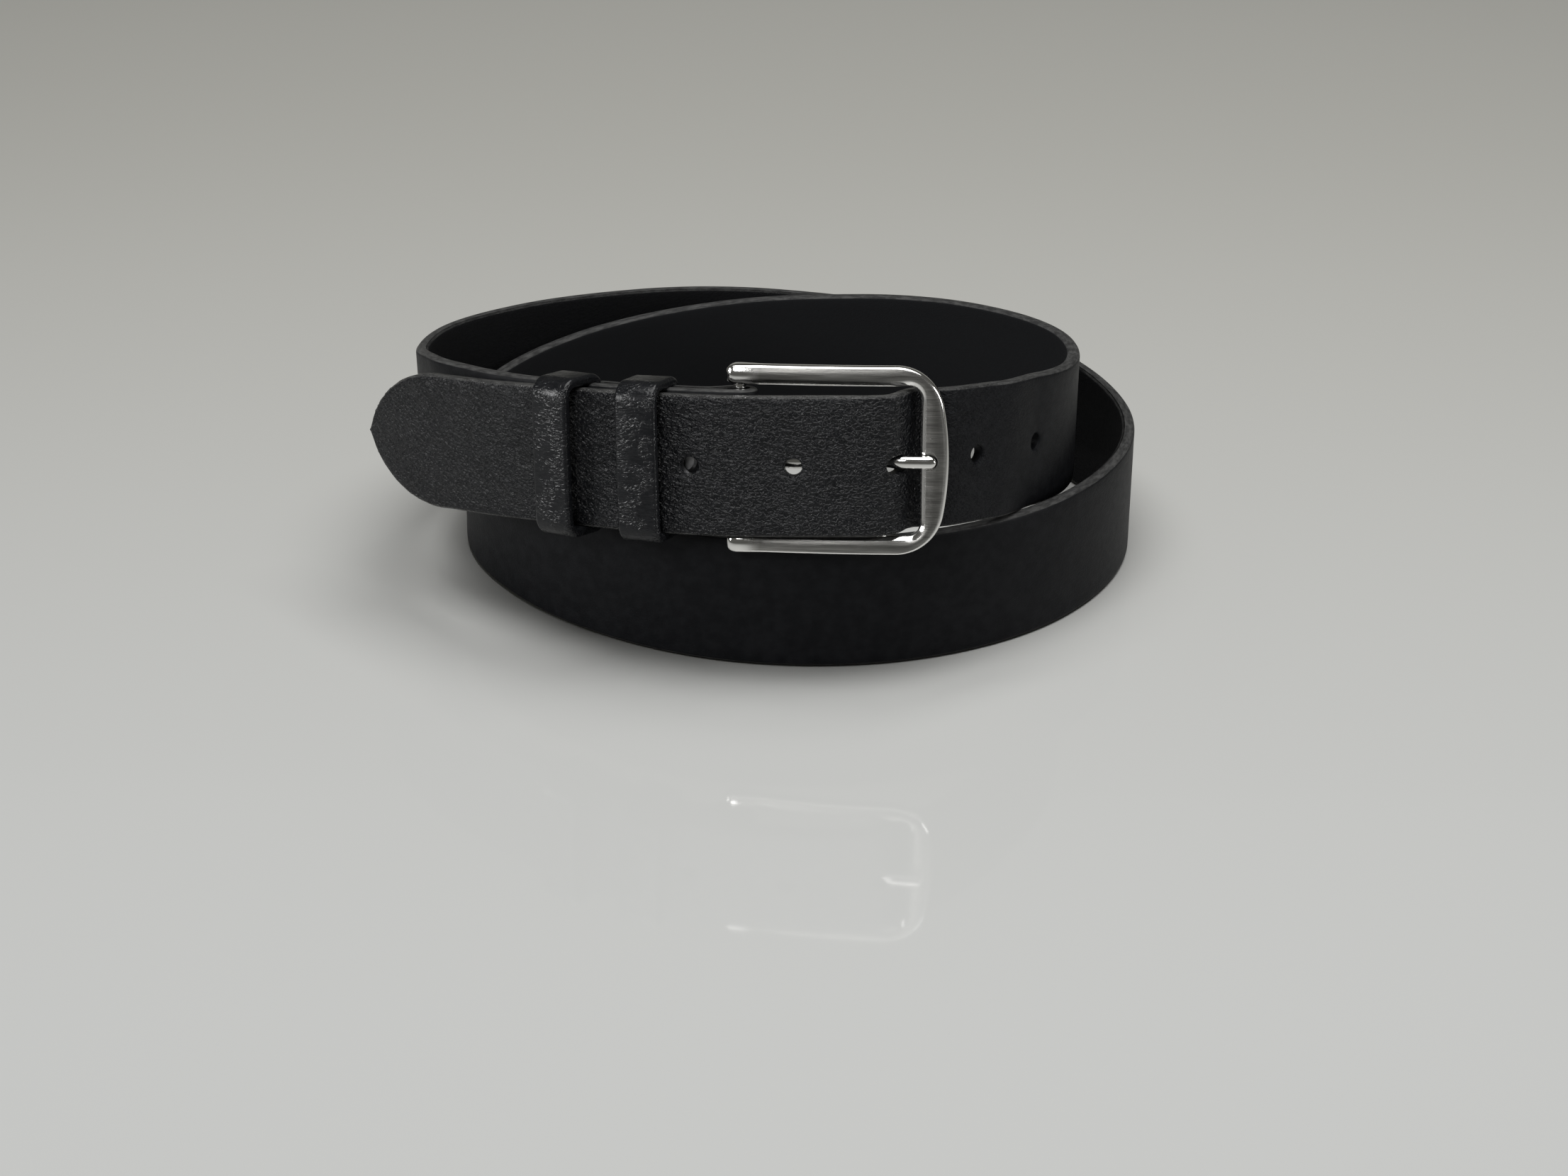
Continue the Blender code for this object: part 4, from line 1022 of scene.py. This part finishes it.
def onStrap(length):
    return tuple(wound(np.array([[length, 0.0, 0.0]]))[0])


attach(strapCoil, "strap")
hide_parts("strap")
onStrap(coilEnds)
onStrap(riserEnds)
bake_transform(strapRiser)
# the riser, the stretch through the window and the tail keep their wound places, baked into their meshes
atHole = lengthAt(holeTurn())
onStrap(atHole - 6.5 * mm)
onStrap(atHole + 1.0 * mm)
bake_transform(strapThroat)
onStrap(lengthInBuckle(7.0 * mm))
onStrap(windowEnds)
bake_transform(strapWindow)
onStrap(windowEnds)
onStrap(lengthInBuckle(-7.0 * mm))
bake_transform(strapTail)
loops = ((keeperFixed, "keeper_fixed", "strap"), (keeperFree, "keeper_free", "keeper_free"))
for piece, node, body in loops:
    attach(piece, body)
    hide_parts(node)
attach(buckleFrame, "buckle")
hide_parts("buckle_frame")
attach(prongPiece, "prong")
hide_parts("prong")


# the floor's colour goes darker from near to far: painted shade for the studio light falling off towards
# the back
stage = {
    "near": (0.575, 0.58, 0.57), "far": (0.490, 0.485, 0.452), "nearY": -0.30, "farY": 0.45,
    "fadeFrom": 0.6, "fadeTo": 1.8, "width": 12.0, "depth": 9.0, "before": 3.0,
    "bend": 1.6, "bendFrom": 2.6, "climb": 80, "gloss": 0.045, "worldLevel": 0.18,
}


def makeStage():
    deselectAll()
    bpy.ops.mesh.primitive_grid_add(x_subdivisions=8, y_subdivisions=120, size=1)
    floor = bpy.context.object
    floor.name = "floor"
    points = pointsOf(floor)
    bend, bendFrom, climb = stage["bend"], stage["bendFrom"], deg(stage["climb"])
    for point in points:
        x, walk = point[0] * stage["width"], (point[1] + 0.5) * stage["depth"] - stage["before"]
        angle = min(max((walk - bendFrom) / bend, 0.0), climb)
        past = max(walk - bendFrom - bend * climb, 0.0)
        y = min(walk, bendFrom) + bend * math.sin(angle) + past * math.cos(angle)
        z = bend * (1 - math.cos(angle)) + past * math.sin(angle)
        point[:] = (x, y, z - 0.0002)
    setPoints(floor, points)
    bpy.ops.object.shade_smooth()
    finish = Finish("pale_gloss", Roughness=stage["gloss"], Specular_IOR_Level=0.5)
    place = separate(finish, finish.node("TexCoord", None, 3))
    # painted shade: the floor darkens from near to far
    share = finish.ramp(place[1], stage["nearY"], stage["farY"])
    finish.set("Base Color", finish.mixColours(share, stage["near"], stage["far"]))
    # far from the belt the floor passes into the background, for the camera alone
    away = finish.ramp((place[0] ** 2.0 + place[1] ** 2.0) ** 0.5, stage["fadeFrom"], stage["fadeTo"])
    seen = finish.node("LightPath")
    glow = finish.tree.nodes.new("ShaderNodeEmission")
    glow.inputs["Color"].default_value = (*stage["far"], 1.0)
    mix = finish.tree.nodes.new("ShaderNodeMixShader")
    finish.feed(mix.inputs[0], away * seen)
    finish.tree.links.new(finish.shader.outputs[0], mix.inputs[1])
    finish.tree.links.new(glow.outputs[0], mix.inputs[2])
    finish.tree.links.new(mix.outputs[0], finish.tree.nodes["Material Output"].inputs["Surface"])
    dress(floor, finish.material)
    return floor


lamps = {  # place, what it is aimed at, width and height, watts
    "top_softbox": ((0.08, -0.12, 1.5), (0.03, -0.05, 0.0), (1.6, 1.2), 28.5),
    "key_softbox": ((-0.42, -1.00, 0.72), (0.0, -0.07, 0.06), (0.42, 0.26), 5.0),
    "left_softbox": ((-1.0, -0.38, 0.34), (0.0, -0.04, 0.05), (0.5, 0.3), 6.5),
    "right_strip": ((1.1, -0.45, 0.40), (0.0, 0.0, 0.06), (0.30, 0.5), 5.0),
}


def makeLamp(name, place, aim, size, power):
    light = bpy.data.lights.new(name, "AREA")
    light.shape = "RECTANGLE"
    light.size, light.size_y = size
    light.energy = power
    item = bpy.data.objects.new(name, light)
    bpy.context.scene.collection.objects.link(item)
    item.location = place
    item.rotation_euler = (Vector(aim) - Vector(place)).to_track_quat("-Z", "Y").to_euler()
    item.visible_camera = False
    return item


def makeLight(floor):
    # the side lamps leave the floor alone, so that it never mirrors them
    offFloor = bpy.data.collections.new("off_floor")
    offFloor.objects.link(floor)
    offFloor.collection_objects[0].light_linking.link_state = "EXCLUDE"
    for name, settings in lamps.items():
        item = makeLamp(name, *settings)
        if name != "top_softbox":
            item.light_linking.receiver_collection = offFloor
    world = bpy.data.worlds.new("studio")
    bpy.context.scene.world = world
    world.use_nodes = True
    background = world.node_tree.nodes["Background"]
    background.inputs["Color"].default_value = (*stage["far"], 1.0)
    seen = world.node_tree.nodes.new("ShaderNodeLightPath")
    level = world.node_tree.nodes.new("ShaderNodeMapRange")
    level.inputs["To Min"].default_value = stage["worldLevel"]
    world.node_tree.links.new(seen.outputs["Is Camera Ray"], level.inputs["Value"])
    world.node_tree.links.new(level.outputs[0], background.inputs["Strength"])


view = {"place": (7.39 * mm, -832.43 * mm, 378.2 * mm), "down": 25.24, "roll": 0.84, "lens": 76.39}


def makeCamera():
    camera = bpy.data.objects.new("camera", bpy.data.cameras.new("camera"))
    bpy.context.scene.collection.objects.link(camera)
    down, roll = deg(view["down"]), deg(view["roll"])
    level, upward = Vector((1, 0, 0)), Vector((0, math.sin(down), math.cos(down)))
    ahead = Vector((0, math.cos(down), -math.sin(down)))
    right = level * math.cos(roll) + upward * math.sin(roll)
    up = upward * math.cos(roll) - level * math.sin(roll)
    turned = Matrix((right, up, -ahead)).transposed().to_4x4()
    camera.matrix_world = Matrix.Translation(view["place"]) @ turned
    camera.data.lens = view["lens"]
    camera.data.sensor_width = 36.0
    camera.data.clip_start = 0.01
    bpy.context.scene.camera = camera


makeLight(makeStage())
makeCamera()
bpy.context.scene.view_settings.view_transform = "Standard"
print("stage, light and camera made")
